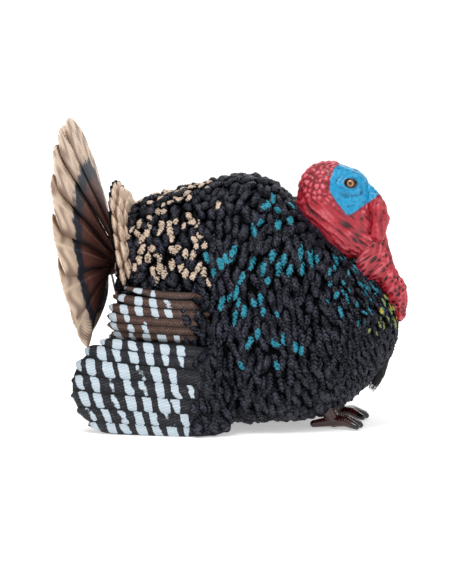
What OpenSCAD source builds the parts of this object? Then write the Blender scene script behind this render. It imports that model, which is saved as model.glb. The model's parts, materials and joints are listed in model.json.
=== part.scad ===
// Full-strut turkey decoy: a hollow moulded body on its drooped wings, with a
// lift-off head and a pull-out tail whose thirteen feathers fold like a fan.
// The bird faces +X, its left side is +Y and it stands on the ground at z = 0.

/* [Body] */
// Height of the back above the ground
back_h = 411; // [400:1:420]
// How far the chest reaches ahead of the origin
chest_x = 292; // [288:1:294]
// Half width of the belly
belly_half_w = 143; // [138:1:144]
// How far the flat rear wall lies behind the origin
bulkhead_x = 150; // [149:1:152]
// Height of the flat underside
underside_z = 16; // [15:1:18]
// Wall thickness of the moulded shells
wall = 3; // [2:0.5:4]

/* [Stake socket] */
// Diameter of the ground stake that the socket takes
stake_d = 12.7; // [9.5:0.1:13]
// Gap all round the stake
stake_gap = 0.25; // [0.15:0.05:0.5]
// Depth of the blind hole
stake_depth = 100; // [70:5:120]

/* [Head] */
// Height of the crown
crown_z = 439; // [434:1:440]
// Half width of the skull
skull_half_w = 34; // [32:1:36]
// Radius of the eye beads
eye_r = 8.5; // [7.5:0.5:9]
// Elevation of the axis that the head lifts off along
head_tilt = 46; // [45:0.5:47]

/* [Pegs] */
// Radius of the head and tail pegs
peg_r = 16; // [14:1:16]
// Length of the head peg
neck_peg_len = 45; // [35:1:50]
// Length of the tail peg
tail_peg_len = 60; // [50:1:65]
// Radial clearance of a peg in its socket
peg_gap = 0.05; // [0.03:0.01:0.1]

/* [Tail fan] */
// Height of the fan's pivot at the rear wall
fan_z = 268; // [266:1:270]
// Backward tilt of the whole fan and of the axis it pulls out along
tail_tilt = 12; // [10:1:13]
// Distance from the pivot to a feather's tip
fan_r = 256; // [246:1:258]
// Angle between neighbouring feathers
fan_step = 18.3; // [17.5:0.1:18.5]
// How far each feather is swept back out of the fan's plane
fan_sweep = 10; // [8:1:12]
// Spacing of the stacked feathers along the pivot
fan_pitch = 2.4; // [2.2:0.1:2.8]
// Thickness of a feather's vane
vane_t = 1.4; // [1:0.1:1.5]
// Radius of the pivot bolt
bolt_r = 4; // [3:0.5:4]

/* [Covert ring] */
// Radius of the ring of upright coverts ahead of the fan
covert_r = 138; // [132:1:140]

/* [Wings] */
// How far the drooped primaries reach behind the origin
wing_rear_x = 226; // [222:1:228]
// Height of the primaries at the front
wing_h = 154; // [148:1:156]
// Half width across the wings
wing_half_w = 177; // [172:1:180]

/* [Hidden] */

round_fn = 72;
form_fn = 32;
cavity_fn = 20;
small_fn = 24;
limb_fn = 16;
eps = 0.01;
big = 900;
skin_gap = 0.4;
face_gap = 0.3;
screw_r = 2;
screw_gap = 0.2;
ring_groove_depth = 2.8;
ring_groove_w = 3.2;
head_r = 4;
head_t = 2.5;
drill_len = 60;
ring_wire_r = 1.3;
neck_groove_at = 12;
tail_groove_at = 18;
head_screw_r = 2.5;
head_screw_hole_r = 2.7;
primaries_rear_l = 86;
primaries_rear_t = 23;
primaries_rear_h = 78;
ground_sink = 2;

// Each form is a centre and three radii; the body is the hull of them all.
back = [[44, 0, 255], [118, 118, back_h - 255]];
rump = [[-90, 0, 232], [104, 122, 146]];
chest = [[168, 0, 165], [chest_x - 168, 124, 115]];
belly = [[60, 0, 118], [195, belly_half_w, 112]];
vent = [[-80, 0, 128], [110, belly_half_w - 7, 116]];
skirt = [[55, 0, 66], [175, belly_half_w - 7, 56]];
body_forms = [back, rump, chest, belly, vent, skirt];

// The head sits on a flat seat that is square to its lift-off axis.
seat_d = 349;
seat_slide = -78;
seat = [
    seat_d * cos(head_tilt) + seat_slide * sin(head_tilt), 0,
    seat_d * sin(head_tilt) - seat_slide * cos(head_tilt)
];
seat_flange_t = 3;
neck_socket_wall = 4;
neck_screw_ring_r = 25;
tail_socket_wall = 6;
tail_screw_ring_r = 28;
neck_flange_r = 30;
neck_plate_r = 24;
neck_plate_t = 3;
neck_floor = 14;
skull = [[180, 0, crown_z - 49], [50, skull_half_w, 49]];
brow = [[212, 0, crown_z - 53], [38, skull_half_w - 4, 43]];
nape = [[168, 0, 360], [42, 32, 43]];
throat = [[216, 0, 350], [42, 31, 46]];
gullet = [[242, 0, 308], [27, 23, 30]];
neck_base = [[196, 0, 318], [46, 33, 42]];
head_forms = [skull, brow, nape, throat, gullet, neck_base];
eye_at = [219, skull_half_w - 12.5, crown_z - 33];

// Stack of the tail along its axis, counted back from the rear wall.
covert_base_t = 4;
tail_flange_t = 4;
tail_flange_r = 34;
hub_r = 30;
hub_t = 5;
eye_disc_r = 16;
eye_disc_t = fan_pitch - 0.1;
fan_side = 6;
fan_count = 2 * fan_side + 1;
hub_x = covert_base_t + tail_flange_t + face_gap;
stack_x = hub_x + hub_t + face_gap;
stack_len = fan_count * fan_pitch;
rear_x = stack_x + stack_len + face_gap;
rosette_t = 3;
rosette_r = 104;
rosette_sweep = 30;
washer_x = rear_x + hub_t + rosette_t;
washer_t = 1.6;
nut_x = washer_x + washer_t + 0.1;
nut_t = 8;
bolt_tip_x = nut_x + nut_t + 8;

stake_r = stake_d / 2 + stake_gap;
socket_r = stake_r + 4.4;
socket_flange_r = 24;
socket_roof_t = 5;
socket_screw_ring_r = 17.5;
plate_t = 4;
plate_half_l = 92;
plate_half_w = 42;
plate_x = 15;
belly_screw_at = [[-68, 33], [15, 36], [98, 33], [-68, -33], [15, -36], [98, -33]];
wing_screw_at = [[-104, 80], [-12, 84], [-88, 178]];
boss_r = 7;
boss_in = 16;
flank_boss_y = belly_half_w - boss_in - 25;
flank_drill_y = 90;
foot_y = 48;
foot_x = 182;
foot_boss_top = 52;
vent_top = 196;
flange_head_t = 2;

// A wall that thins a form by a negative grow is drawn with fewer facets.
module form(f, grow = 0) {
    translate(f[0]) scale(f[1] + [grow, grow, grow])
        sphere(r = 1, $fn = grow < 0 ? cavity_fn : form_fn);
}

module hull_of(forms, grow = 0) {
    hull() for (f = forms) form(f, grow);
}

// Turns a stack of curved skins into one continuous moulding.
module moulding() {
    resize([0, 0, 0]) children();
}

// Places children with their +Z along the head's lift-off axis, seat at zero.
module on_seat(lift = 0) {
    translate(seat) rotate([0, 90 - head_tilt, 0]) translate([0, 0, lift]) children();
}

// Places children with their +Z pointing back along the tail's axis and their
// +X pointing up, zero being the rear wall.
module on_tail(back = 0) {
    translate([-bulkhead_x, 0, fan_z]) rotate([0, -90 - tail_tilt, 0]) translate([0, 0, back]) children();
}

// Places children with their +Z pointing out of one flank.
module on_flank(side, at, out) {
    translate([at[0], side * out, at[1]]) rotate([-side * 90, 0, 0]) children();
}

module screw(r, len) {
    translate([0, 0, -1]) cylinder(r = r, h = len + 1, $fn = small_fn);
    translate([0, 0, -head_t]) cylinder(r = 2 * r, h = head_t, $fn = small_fn);
}

// A screw whose head lies in a counterbore, its shank pointing down.
module sunk_screw(len) {
    translate([0, 0, -len]) cylinder(r = screw_r, h = len + eps, $fn = small_fn);
    cylinder(r = head_r - screw_gap, h = flange_head_t, $fn = small_fn);
}

module sunk_hole() {
    translate([0, 0, -drill_len / 2]) cylinder(r = screw_r + screw_gap, h = drill_len, $fn = small_fn);
    cylinder(r = head_r, h = 10, $fn = small_fn);
}

module tube(outer, inner, len) {
    difference() {
        cylinder(r = outer, h = len, $fn = round_fn);
        translate([0, 0, -1]) cylinder(r = inner, h = len + 2, $fn = round_fn);
    }
}

module stadium(half_l, half_w) {
    square([2 * (half_l - half_w), 2 * half_w], center = true);
    for (s = [-1, 1]) translate([s * (half_l - half_w), 0]) circle(r = half_w, $fn = round_fn);
}

// ---- Body -------------------------------------------------------------------

// The form cut flat underneath, at the head's seat and at the rear, where the
// wall leans back with the tail above vent_top and stands upright below it.
module body_cut(grow = 0) {
    intersection() {
        hull_of(body_forms, grow);
        translate([-big / 2, -big / 2, underside_z - grow]) cube(big);
        on_seat(-seat_flange_t + grow - big) translate([-big / 2, -big / 2, 0]) cube(big);
        union() {
            on_tail(grow - big) translate([-big / 2, -big / 2, 0]) cube(big);
            translate([-bulkhead_x - grow, -big / 2, -big + vent_top + grow]) cube(big);
        }
    }
}

module flank_bosses(side, grow) {
    for (at = wing_screw_at)
        on_flank(side, at, flank_boss_y) cylinder(r = boss_r + grow, h = drill_len, $fn = small_fn);
}

module body_shell(side) {
    color("#2b2a30")
    moulding()
    intersection() {
        translate([-big / 2, side > 0 ? 0 : -big, -1]) cube(big);
        difference() {
            body_cut();
            difference() {
                body_cut(-wall);
                for (at = belly_screw_at)
                    translate([at[0], at[1], 0]) cylinder(r = boss_r, h = 36, $fn = small_fn);
                translate([foot_x, side * foot_y, 0]) cylinder(r = boss_r, h = foot_boss_top, $fn = small_fn);
                intersection() {
                    flank_bosses(side, 0);
                    hull_of(body_forms, -0.5);
                }
            }
            translate([plate_x, 0, 0]) linear_extrude(60) stadium(plate_half_l - 30, plate_half_w - 17);
            for (at = belly_screw_at)
                translate([at[0], at[1], 0])
                    cylinder(r = screw_r + screw_gap, h = 32, $fn = small_fn);
            for (at = wing_screw_at)
                on_flank(side, at, flank_drill_y) cylinder(r = screw_r + screw_gap, h = 80, $fn = small_fn);
            on_seat(-drill_len / 2) cylinder(r = peg_r + neck_socket_wall + skin_gap, h = drill_len, $fn = form_fn);
            for (a = [0:90:270])
                on_seat(-drill_len / 2) rotate(a + 45) translate([neck_screw_ring_r, 0, 0])
                    cylinder(r = screw_r + screw_gap, h = drill_len, $fn = small_fn);
            on_tail(-drill_len / 2) cylinder(r = peg_r + tail_socket_wall + skin_gap, h = drill_len, $fn = form_fn);
            for (a = [0:90:270])
                on_tail(-drill_len / 2) rotate(a + 45) translate([tail_screw_ring_r, 0, 0])
                    cylinder(r = screw_r + screw_gap, h = drill_len, $fn = small_fn);
            for (s = [-1, 1])
                translate([foot_x, s * foot_y, -1]) cylinder(r = screw_r + screw_gap, h = 80, $fn = small_fn);
        }
    }
}

module belly_plate() {
    color("#26262b")
    difference() {
        translate([plate_x, 0, underside_z - plate_t]) linear_extrude(plate_t)
            stadium(plate_half_l, plate_half_w);
        translate([0, 0, -1]) cylinder(r = socket_r + 0.05, h = drill_len, $fn = round_fn);
        for (at = belly_screw_at)
            translate([at[0], at[1], 0]) cylinder(r = screw_r + screw_gap, h = drill_len, $fn = small_fn);
        for (a = [0:120:240])
            rotate(a) translate([socket_screw_ring_r, 0, 0]) cylinder(r = screw_r + screw_gap, h = drill_len, $fn = small_fn);
    }
}

module belly_screws() {
    color("silver")
    for (at = belly_screw_at)
        translate([at[0], at[1], underside_z - plate_t]) screw(screw_r, 18);
}

// ---- Stake socket -------------------------------------------------------------

module stake_socket() {
    color("#3a3a3e")
    difference() {
        union() {
            cylinder(r = socket_r, h = stake_depth + socket_roof_t, $fn = round_fn);
            translate([0, 0, underside_z]) cylinder(r = socket_flange_r, h = 4, $fn = round_fn);
        }
        translate([0, 0, -1]) cylinder(r = stake_r, h = stake_depth + 1, $fn = round_fn);
        for (a = [0:120:240])
            rotate(a) translate([socket_screw_ring_r, 0, 0]) cylinder(r = screw_r + screw_gap, h = drill_len, $fn = small_fn);
    }
}

module socket_screws() {
    color("silver")
    for (a = [0:120:240])
        rotate(a) translate([socket_screw_ring_r, 0, underside_z - plate_t]) screw(screw_r, 12);
}

// ---- Sockets for the head and the tail ------------------------------------------

module neck_socket() {
    color("#3a3a3e")
    difference() {
        union() {
            on_seat(-neck_peg_len - 4) cylinder(r = peg_r + neck_socket_wall, h = neck_peg_len + 4, $fn = round_fn);
            on_seat(-seat_flange_t) cylinder(r = neck_flange_r, h = seat_flange_t, $fn = round_fn);
        }
        on_seat(-neck_peg_len - 1) cylinder(r = peg_r + peg_gap, h = neck_peg_len + 2, $fn = round_fn);
        for (a = [0:90:270])
            on_seat(-flange_head_t) rotate(a + 45) translate([neck_screw_ring_r, 0, 0]) sunk_hole();
    }
}

module neck_socket_screws() {
    color("silver")
    for (a = [0:90:270])
        on_seat(-flange_head_t) rotate(a + 45) translate([neck_screw_ring_r, 0, 0]) sunk_screw(12);
}

module tail_socket() {
    color("#3a3a3e")
    difference() {
        union() {
            on_tail(-tail_peg_len - 4)
                cylinder(r = peg_r + tail_socket_wall, h = tail_peg_len + 4 + covert_base_t, $fn = round_fn);
            on_tail(covert_base_t) cylinder(r = tail_flange_r, h = tail_flange_t, $fn = round_fn);
        }
        on_tail(-tail_peg_len)
            cylinder(r = peg_r + peg_gap, h = tail_peg_len + 20, $fn = round_fn);
        for (a = [0:90:270])
            on_tail(covert_base_t + tail_flange_t - flange_head_t) rotate(a + 45)
                translate([tail_screw_ring_r, 0, 0]) sunk_hole();
    }
}

module tail_socket_screws() {
    color("silver")
    for (a = [0:90:270])
        on_tail(covert_base_t + tail_flange_t - flange_head_t) rotate(a + 45)
            translate([tail_screw_ring_r, 0, 0]) sunk_screw(16);
}

// ---- Ring of upright coverts ahead of the fan -------------------------------------

function polar(r, a) = [r * cos(a), r * sin(a)];

module covert_outline() {
    lobes = 20;
    from = -106;
    to = 106;
    steps = 8;
    polygon([
        for (i = [0:lobes - 1]) for (j = [0:steps - 1])
            let (a = from + (to - from) * (i + j / steps) / lobes)
            polar(covert_r - 9 * pow(abs(2 * j / steps - 1), 2.2), a),
        polar(covert_r - 9, to), polar(40, to), polar(40, 180), polar(40, from)
    ]);
    circle(r = 40, $fn = round_fn);
}

module tail_covert_ring() {
    color("#6b4436")
    difference() {
        on_tail() linear_extrude(covert_base_t) covert_outline();
        on_tail(-5) cylinder(r = peg_r + tail_socket_wall + 0.05, h = 20, $fn = round_fn);
        for (a = [0:90:270])
            on_tail(-5) rotate(a + 45) translate([tail_screw_ring_r, 0, 0])
                cylinder(r = screw_r + screw_gap, h = 20, $fn = small_fn);
    }
}

// ---- Wings --------------------------------------------------------------------

function primaries_forms(side) = [
    [[primaries_rear_l - wing_rear_x, side * (wing_half_w - primaries_rear_t - 1),
        primaries_rear_h - ground_sink], [primaries_rear_l, primaries_rear_t, primaries_rear_h]],
    [[-50, side * (wing_half_w - 25), wing_h - 84], [84, 25, 84]]
];

function secondaries_forms(side) = [
    [[-100, side * (wing_half_w - 48), 186], [66, 24, 46]],
    [[-66, side * (wing_half_w - 46), 186], [66, 26, 50]]
];

module primaries_block(side, grow = 0) {
    intersection() {
        hull_of(primaries_forms(side), grow);
        translate([-big / 2, -big / 2, -grow]) cube(big);
    }
}

module wing_holes(side) {
    for (at = wing_screw_at)
        on_flank(side, at, flank_drill_y) cylinder(r = screw_r + screw_gap, h = 62, $fn = small_fn);
}

module wing_primaries(side) {
    color("#33333a")
    moulding()
    difference() {
        primaries_block(side);
        body_cut(skin_gap);
        wing_holes(side);
    }
}

module wing_secondaries(side) {
    color("#5b4438")
    moulding()
    difference() {
        hull_of(secondaries_forms(side));
        body_cut(skin_gap);
        primaries_block(side, skin_gap);
        wing_holes(side);
    }
}

module wing_screws() {
    color("silver")
    for (side = [-1, 1]) for (at = wing_screw_at)
        on_flank(side, at, flank_boss_y) screw(screw_r, 48);
}

// ---- Feet and beard -------------------------------------------------------------

module ball(at, r) {
    translate(at) sphere(r = r, $fn = limb_fn);
}

module limb(a, ra, b, rb) {
    hull() {
        ball(a, ra);
        ball(b, rb);
    }
}

module foot(side) {
    toe_turns = [-26, 0, 26];
    ankle = [foot_x, side * foot_y, 34];
    pad = [196, side * foot_y, 12];
    color("#5a1f16")
    moulding()
    difference() {
        union() {
            limb(ankle, 12, pad, 11);
            for (turn = toe_turns) {
                knuckle = pad + [22 * cos(turn), 22 * sin(turn), 1];
                tip = pad + [44 * cos(turn), 44 * sin(turn), -6];
                limb(pad, 10, knuckle, 8.5);
                limb(knuckle, 8.5, tip, 5);
            }
            limb(pad, 9, pad + [-34, side * 4, -5], 6);
        }
        body_cut(skin_gap);
        translate([0, 0, -big]) cube([big, big, 2 * big], center = true);
        translate([foot_x, side * foot_y, 20]) cylinder(r = screw_r + screw_gap, h = 40, $fn = small_fn);
    }
}

module foot_screws() {
    color("silver")
    for (s = [-1, 1])
        translate([foot_x, s * foot_y, foot_boss_top]) rotate([180, 0, 0]) screw(screw_r, 28);
}

module beard() {
    root = [275, 0, 112];
    middle = [258, 0, 70];
    tip = [232, 0, 34];
    color("#1c1b1d")
    moulding()
    difference() {
        union() {
            limb(root, 12, middle, 11);
            limb(middle, 11, tip, 7);
        }
        body_cut(skin_gap);
    }
}

// ---- Head -----------------------------------------------------------------------

module head_block(grow = 0) {
    intersection() {
        hull_of(head_forms, grow);
        on_seat(face_gap - grow) translate([-big / 2, -big / 2, 0]) cube(big);
    }
}

module head_shell() {
    color("#b01f2c")
    moulding()
    difference() {
        head_block();
        difference() {
            intersection() {
                hull_of(head_forms, -wall);
                on_seat(face_gap + neck_floor) translate([-big / 2, -big / 2, 0]) cube(big);
            }
            for (side = [-1, 1])
                translate([eye_at[0], side * eye_at[1], eye_at[2]])
                    sphere(r = eye_r + skin_gap + wall, $fn = small_fn);
        }
        on_seat(-1) cylinder(r = neck_plate_r + 0.2, h = 1 + face_gap + neck_plate_t, $fn = form_fn);
        on_seat(-1) cylinder(r = head_screw_hole_r, h = neck_floor + 6, $fn = small_fn);
        for (side = [-1, 1])
            translate([eye_at[0], side * eye_at[1], eye_at[2]]) sphere(r = eye_r + skin_gap, $fn = small_fn);
    }
}

module neck_peg() {
    color("#3a3a3e")
    difference() {
        union() {
            on_seat(face_gap - neck_peg_len) cylinder(r = peg_r, h = neck_peg_len, $fn = round_fn);
            on_seat(face_gap) cylinder(r = neck_plate_r, h = neck_plate_t, $fn = round_fn);
        }
        on_seat(-neck_peg_len - 1) cylinder(r = 6, h = neck_peg_len - 8, $fn = round_fn);
        on_seat(-neck_peg_len - 1) cylinder(r = head_screw_hole_r, h = neck_peg_len + 8, $fn = small_fn);
        on_seat(neck_groove_at - neck_peg_len) tube(peg_r + 1, peg_r - ring_groove_depth, ring_groove_w);
    }
}

module o_ring(r) {
    rotate_extrude($fn = round_fn) translate([r - ring_wire_r, 0]) circle(r = ring_wire_r, $fn = small_fn);
}

module neck_ring() {
    color("#151515") on_seat(neck_groove_at + ring_groove_w / 2 - neck_peg_len) o_ring(peg_r);
}

module head_screw() {
    color("silver") on_seat(-9) {
        cylinder(r = head_screw_r, h = 20, $fn = small_fn);
        translate([0, 0, -3]) cylinder(r = 2 * head_screw_r, h = 3, $fn = small_fn);
    }
}

module wattle() {
    stations = [
        [[254, 0, 312], 21], [[267, 0, 278], 17], [[279, 0, 252], 14],
        [[297, 0, 230], 12], [[300, 0, 212], 11.5], [[299, 0, 184], 8]
    ];
    color("#a81c2a")
    moulding()
    difference() {
        for (i = [0:len(stations) - 2])
            limb(stations[i][0], stations[i][1], stations[i + 1][0], stations[i + 1][1]);
        head_block(0.05);
        body_cut(1.5);
        beak_form(0.05);
    }
}

module beak_form(grow = 0) {
    hull() {
        ball([226, 2, 370], 15 + grow);
        ball([250, 5, 350], 11 + grow);
        ball([268, 7, 334], 4 + grow);
    }
}

module beak() {
    color("#c8a26a")
    moulding()
    difference() {
        beak_form();
        head_block(0.05);
    }
}

module snood() {
    color("#b5202d")
    moulding()
    difference() {
        union() {
            limb([238, -1, 402], 9, [257, -6, 378], 12);
            limb([257, -6, 378], 12, [267, -12, 350], 13);
            limb([267, -12, 350], 13, [264, -18, 322], 11);
        }
        head_block(0.05);
        beak_form(0.05);
        limb([254, 0, 312], 21.1, [267, 0, 278], 17.1);
    }
}

module eye(side) {
    color("#2a1408")
    translate([eye_at[0], side * eye_at[1], eye_at[2]]) sphere(r = eye_r, $fn = round_fn);
}

// ---- Tail -------------------------------------------------------------------------

module tail_peg() {
    color("#3a3a3e")
    difference() {
        union() {
            on_tail(hub_x - tail_peg_len + 2) cylinder(r = peg_r, h = tail_peg_len, $fn = round_fn);
            on_tail(hub_x) cylinder(r = hub_r, h = hub_t, $fn = round_fn);
        }
        on_tail(hub_x - tail_peg_len) cylinder(r = bolt_r + 0.05, h = tail_peg_len + 20, $fn = round_fn);
        on_tail(hub_x - tail_peg_len) cylinder(r = 9, h = 10, $fn = round_fn);
        on_tail(hub_x - tail_peg_len + tail_groove_at) tube(peg_r + 1, peg_r - ring_groove_depth, ring_groove_w);
    }
}

module tail_ring() {
    color("#151515") on_tail(hub_x - tail_peg_len + tail_groove_at + ring_groove_w / 2) o_ring(peg_r);
}

module tail_bolt() {
    bolt_x = hub_x - tail_peg_len + 10;
    color("silver") {
        on_tail(bolt_x) cylinder(r = bolt_r, h = bolt_tip_x - bolt_x, $fn = round_fn);
        on_tail(bolt_x - 5.3) cylinder(r = 7.5, h = 5.3, $fn = 6);
    }
}

module hub_rear() {
    color("#3a3a3e") on_tail(rear_x) tube(eye_disc_r, bolt_r + 0.2, hub_t);
}

module undertail_outline() {
    lobes = 16;
    steps = 6;
    polygon([
        for (i = [0:lobes - 1]) for (j = [0:steps - 1])
            let (a = 360 * (i + j / steps) / lobes)
            polar(rosette_r - 10 * pow(abs(2 * j / steps - 1), 2), a)
    ]);
}

module undertail_coverts() {
    drop = (rosette_r + 5 - hub_r) * tan(rosette_sweep);
    color("#4a3a33")
    difference() {
        intersection() {
            on_tail(rear_x + hub_t) rotate_extrude($fn = round_fn) polygon([
                [0, 0], [hub_r, 0], [rosette_r + 5, drop],
                [rosette_r + 5, drop + rosette_t], [hub_r, rosette_t], [0, rosette_t]
            ]);
            on_tail(rear_x) linear_extrude(drop + 20) undertail_outline();
        }
        on_tail(rear_x) cylinder(r = bolt_r + 0.2, h = 20, $fn = round_fn);
    }
}

module hub_washer() {
    color("silver") on_tail(washer_x) tube(10, bolt_r + 0.2, washer_t);
}

module wing_nut() {
    color("silver")
    on_tail(nut_x) difference() {
        union() {
            cylinder(r = 8, h = nut_t, $fn = round_fn);
            for (s = [-1, 1]) translate([s * 12, 0, nut_t - 1]) rotate([90, 0, 0])
                translate([0, 0, -1.6]) linear_extrude(3.2) {
                    circle(r = 6.5, $fn = small_fn);
                    translate([-s * 4.5, -1]) square([9, 10], center = true);
                }
        }
        translate([0, 0, -1]) cylinder(r = bolt_r + 0.05, h = nut_t + 20, $fn = round_fn);
    }
}

// Outer feathers are shorter than the middle ones.
function feather_len(k) = fan_r * (1 - 0.14 * pow(k / fan_side, 5));

// One feather in plan, its pivot at the origin and its tip along +X.
module feather_outline(len) {
    base_r = 14;
    taper = 0.172;
    end = 22;
    steps = 12;
    side_w = 5 + taper * (len - end);
    polygon([
        [0, -5], [base_r, -5 - taper * base_r],
        for (i = [0:steps])
            let (a = 2 * i / steps - 1)
            [len - end * pow(abs(a), 2.4), a * side_w],
        [base_r, 5 + taper * base_r], [0, 5]
    ]);
    circle(r = eye_disc_r, $fn = round_fn);
}

// layer counts the feathers back from the front one, turn leans one aside.
module tail_feather(k, side) {
    layer = k == 0 ? 0 : 2 * k - (side < 0 ? 1 : 0);
    outer = fan_r + 10;
    drop = (outer - eye_disc_r) * tan(fan_sweep);
    color("#8a6a58")
    on_tail(stack_x + layer * fan_pitch) rotate(side * k * fan_step) difference() {
        intersection() {
            rotate(180) rotate_extrude($fn = round_fn) polygon([
                [0, 0], [eye_disc_r, 0], [outer, drop], [outer, drop + vane_t],
                [eye_disc_r, vane_t], [eye_disc_r, eye_disc_t], [0, eye_disc_t]
            ]);
            translate([0, 0, -1]) linear_extrude(drop + 20) feather_outline(feather_len(k));
        }
        translate([0, 0, -1]) cylinder(r = bolt_r + 0.05, h = 20, $fn = round_fn);
    }
}

body_shell(1);  // body_shell_left
body_shell(-1);  // body_shell_right
belly_plate();
belly_screws();
stake_socket();
socket_screws();
neck_socket();
neck_socket_screws();
tail_socket();
tail_socket_screws();
tail_covert_ring();
wing_primaries(1);  // wing_primaries_left
wing_primaries(-1);  // wing_primaries_right
wing_secondaries(1);  // wing_secondaries_left
wing_secondaries(-1);  // wing_secondaries_right
wing_screws();
foot(1);  // foot_left
foot(-1);  // foot_right
foot_screws();
beard();
head_shell();
neck_peg();
neck_ring();
head_screw();
wattle();
snood();
beak();
eye(1);  // eye_left
eye(-1);  // eye_right
tail_peg();
tail_ring();
tail_bolt();
hub_washer();
hub_rear();
undertail_coverts();
wing_nut();
tail_feather(0, 1);  // tail_feather_centre
tail_feather(1, -1);  // tail_feather_right_1
tail_feather(2, -1);  // tail_feather_right_2
tail_feather(3, -1);  // tail_feather_right_3
tail_feather(4, -1);  // tail_feather_right_4
tail_feather(5, -1);  // tail_feather_right_5
tail_feather(6, -1);  // tail_feather_right_6
tail_feather(1, 1);  // tail_feather_left_1
tail_feather(2, 1);  // tail_feather_left_2
tail_feather(3, 1);  // tail_feather_left_3
tail_feather(4, 1);  // tail_feather_left_4
tail_feather(5, 1);  // tail_feather_left_5
tail_feather(6, 1);  // tail_feather_left_6
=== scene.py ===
import json
import math

import bmesh
import bpy
import numpy as np
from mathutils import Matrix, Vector, noise
from mathutils.bvhtree import BVHTree


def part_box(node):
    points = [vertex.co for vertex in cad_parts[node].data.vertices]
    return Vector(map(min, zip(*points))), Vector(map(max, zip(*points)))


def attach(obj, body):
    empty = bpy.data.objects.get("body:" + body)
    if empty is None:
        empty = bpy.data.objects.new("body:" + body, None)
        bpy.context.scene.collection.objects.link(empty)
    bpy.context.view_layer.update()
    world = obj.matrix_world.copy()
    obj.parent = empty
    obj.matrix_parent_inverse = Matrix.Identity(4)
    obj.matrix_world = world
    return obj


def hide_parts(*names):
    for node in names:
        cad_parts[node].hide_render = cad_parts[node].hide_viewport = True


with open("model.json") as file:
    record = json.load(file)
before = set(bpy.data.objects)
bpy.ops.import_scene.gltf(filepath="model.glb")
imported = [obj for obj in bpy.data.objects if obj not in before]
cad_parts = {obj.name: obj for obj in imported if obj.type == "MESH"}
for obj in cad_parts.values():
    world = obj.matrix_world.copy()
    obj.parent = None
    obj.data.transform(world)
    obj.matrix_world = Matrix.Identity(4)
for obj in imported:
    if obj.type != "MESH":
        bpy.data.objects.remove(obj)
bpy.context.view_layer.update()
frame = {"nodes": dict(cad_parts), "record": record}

# ---------------------------------------------------------------------------
# Ground, lights and camera.
# The bird stands on a plain pale ground under large soft boxes, and a long lens
# looks at its right side from a little in front and a little above.


def linear(code):
    """A hex sRGB colour as linear red, green, blue and alpha."""
    parts = [int(code[i : i + 2], 16) / 255 for i in (1, 3, 5)]
    return [p / 12.92 if p <= 0.04045 else ((p + 0.055) / 1.055) ** 2.4 for p in parts] + [1.0]


def add(tree, kind, inputs=(), **settings):
    """Adds a node, sets its properties, and gives each named input a value or a link."""
    made = tree.nodes.new(kind)
    for key, value in settings.items():
        setattr(made, key, value)
    for key, value in dict(inputs).items():
        if isinstance(value, bpy.types.NodeSocket):
            tree.links.new(value, made.inputs[key])
        else:
            made.inputs[key].default_value = value
    return made


def material(name):
    """An empty node material and its tree."""
    made = bpy.data.materials.new(name)
    made.use_nodes = True
    made.node_tree.nodes.clear()
    return made, made.node_tree


def surface(tree, inputs):
    """Ends a material with its principled shader."""
    shader = add(tree, "ShaderNodeBsdfPrincipled", inputs)
    add(tree, "ShaderNodeOutputMaterial", {"Surface": shader.outputs[0]})


def mesh_piece(name, verts, faces, coat, marks=(), smooth=True):
    """A mesh object with float marks on its vertices, given in metres."""
    mesh = bpy.data.meshes.new(name)
    mesh.from_pydata(np.asarray(verts).tolist(), [], faces)
    for key, values in dict(marks).items():
        values = np.asarray(values, dtype=np.float32)
        kind = "FLOAT" if values.ndim == 1 else "FLOAT_VECTOR"
        layer = mesh.attributes.new(key, kind, "POINT")
        layer.data.foreach_set("value" if values.ndim == 1 else "vector", values.ravel())
    mesh.polygons.foreach_set("use_smooth", [smooth] * len(mesh.polygons))
    mesh.materials.append(coat)
    mesh.validate()
    piece = bpy.data.objects.new(name, mesh)
    bpy.context.collection.objects.link(piece)
    return piece


ground_half, ground_back, sweep_r = 10.0, 8.0, 1.5
ground_paint, tree = material("matt_white_ground")
surface(
    tree,
    {
        "Base Color": linear("#fafafa"),
        "Roughness": 0.9,
        "Emission Color": linear("#ffffff"),
        "Emission Strength": 0.42,
    },
)
profile = [(-ground_half, 0.0), (ground_back, 0.0)]
profile += [
    (ground_back + sweep_r * math.sin(a), sweep_r - sweep_r * math.cos(a))
    for a in np.radians(np.arange(5, 91, 5))
]
profile += [(ground_back + sweep_r, 6.0)]
ground = mesh_piece(
    "ground",
    [(side * ground_half, y, z - 0.0004) for y, z in profile for side in (-1, 1)],
    [(2 * i, 2 * i + 1, 2 * i + 3, 2 * i + 2) for i in range(len(profile) - 1)],
    ground_paint,
)

world = bpy.data.worlds.new("studio")
world.use_nodes = True
world.node_tree.nodes["Background"].inputs["Color"].default_value = linear("#ffffff")
world.node_tree.nodes["Background"].inputs["Strength"].default_value = 0.55
bpy.context.scene.world = world
bpy.context.scene.view_settings.view_transform = "Standard"

soft_boxes = {
    "key_box": ((-0.5, -1.3, 2.6), 1.3, 52),
    "fill_box": ((2.2, -1.6, 1.3), 1.8, 10),
    "rim_box": ((0.3, 2.0, 2.2), 1.6, 18),
}
aim = Vector((0, 0, 0.22))
for name, (place, side, power) in soft_boxes.items():
    lamp = bpy.data.lights.new(name, "AREA")
    lamp.size = side
    lamp.energy = power
    box = bpy.data.objects.new(name, lamp)
    box.location = place
    box.rotation_euler = (aim - Vector(place)).to_track_quat("-Z", "Y").to_euler()
    bpy.context.collection.objects.link(box)

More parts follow.
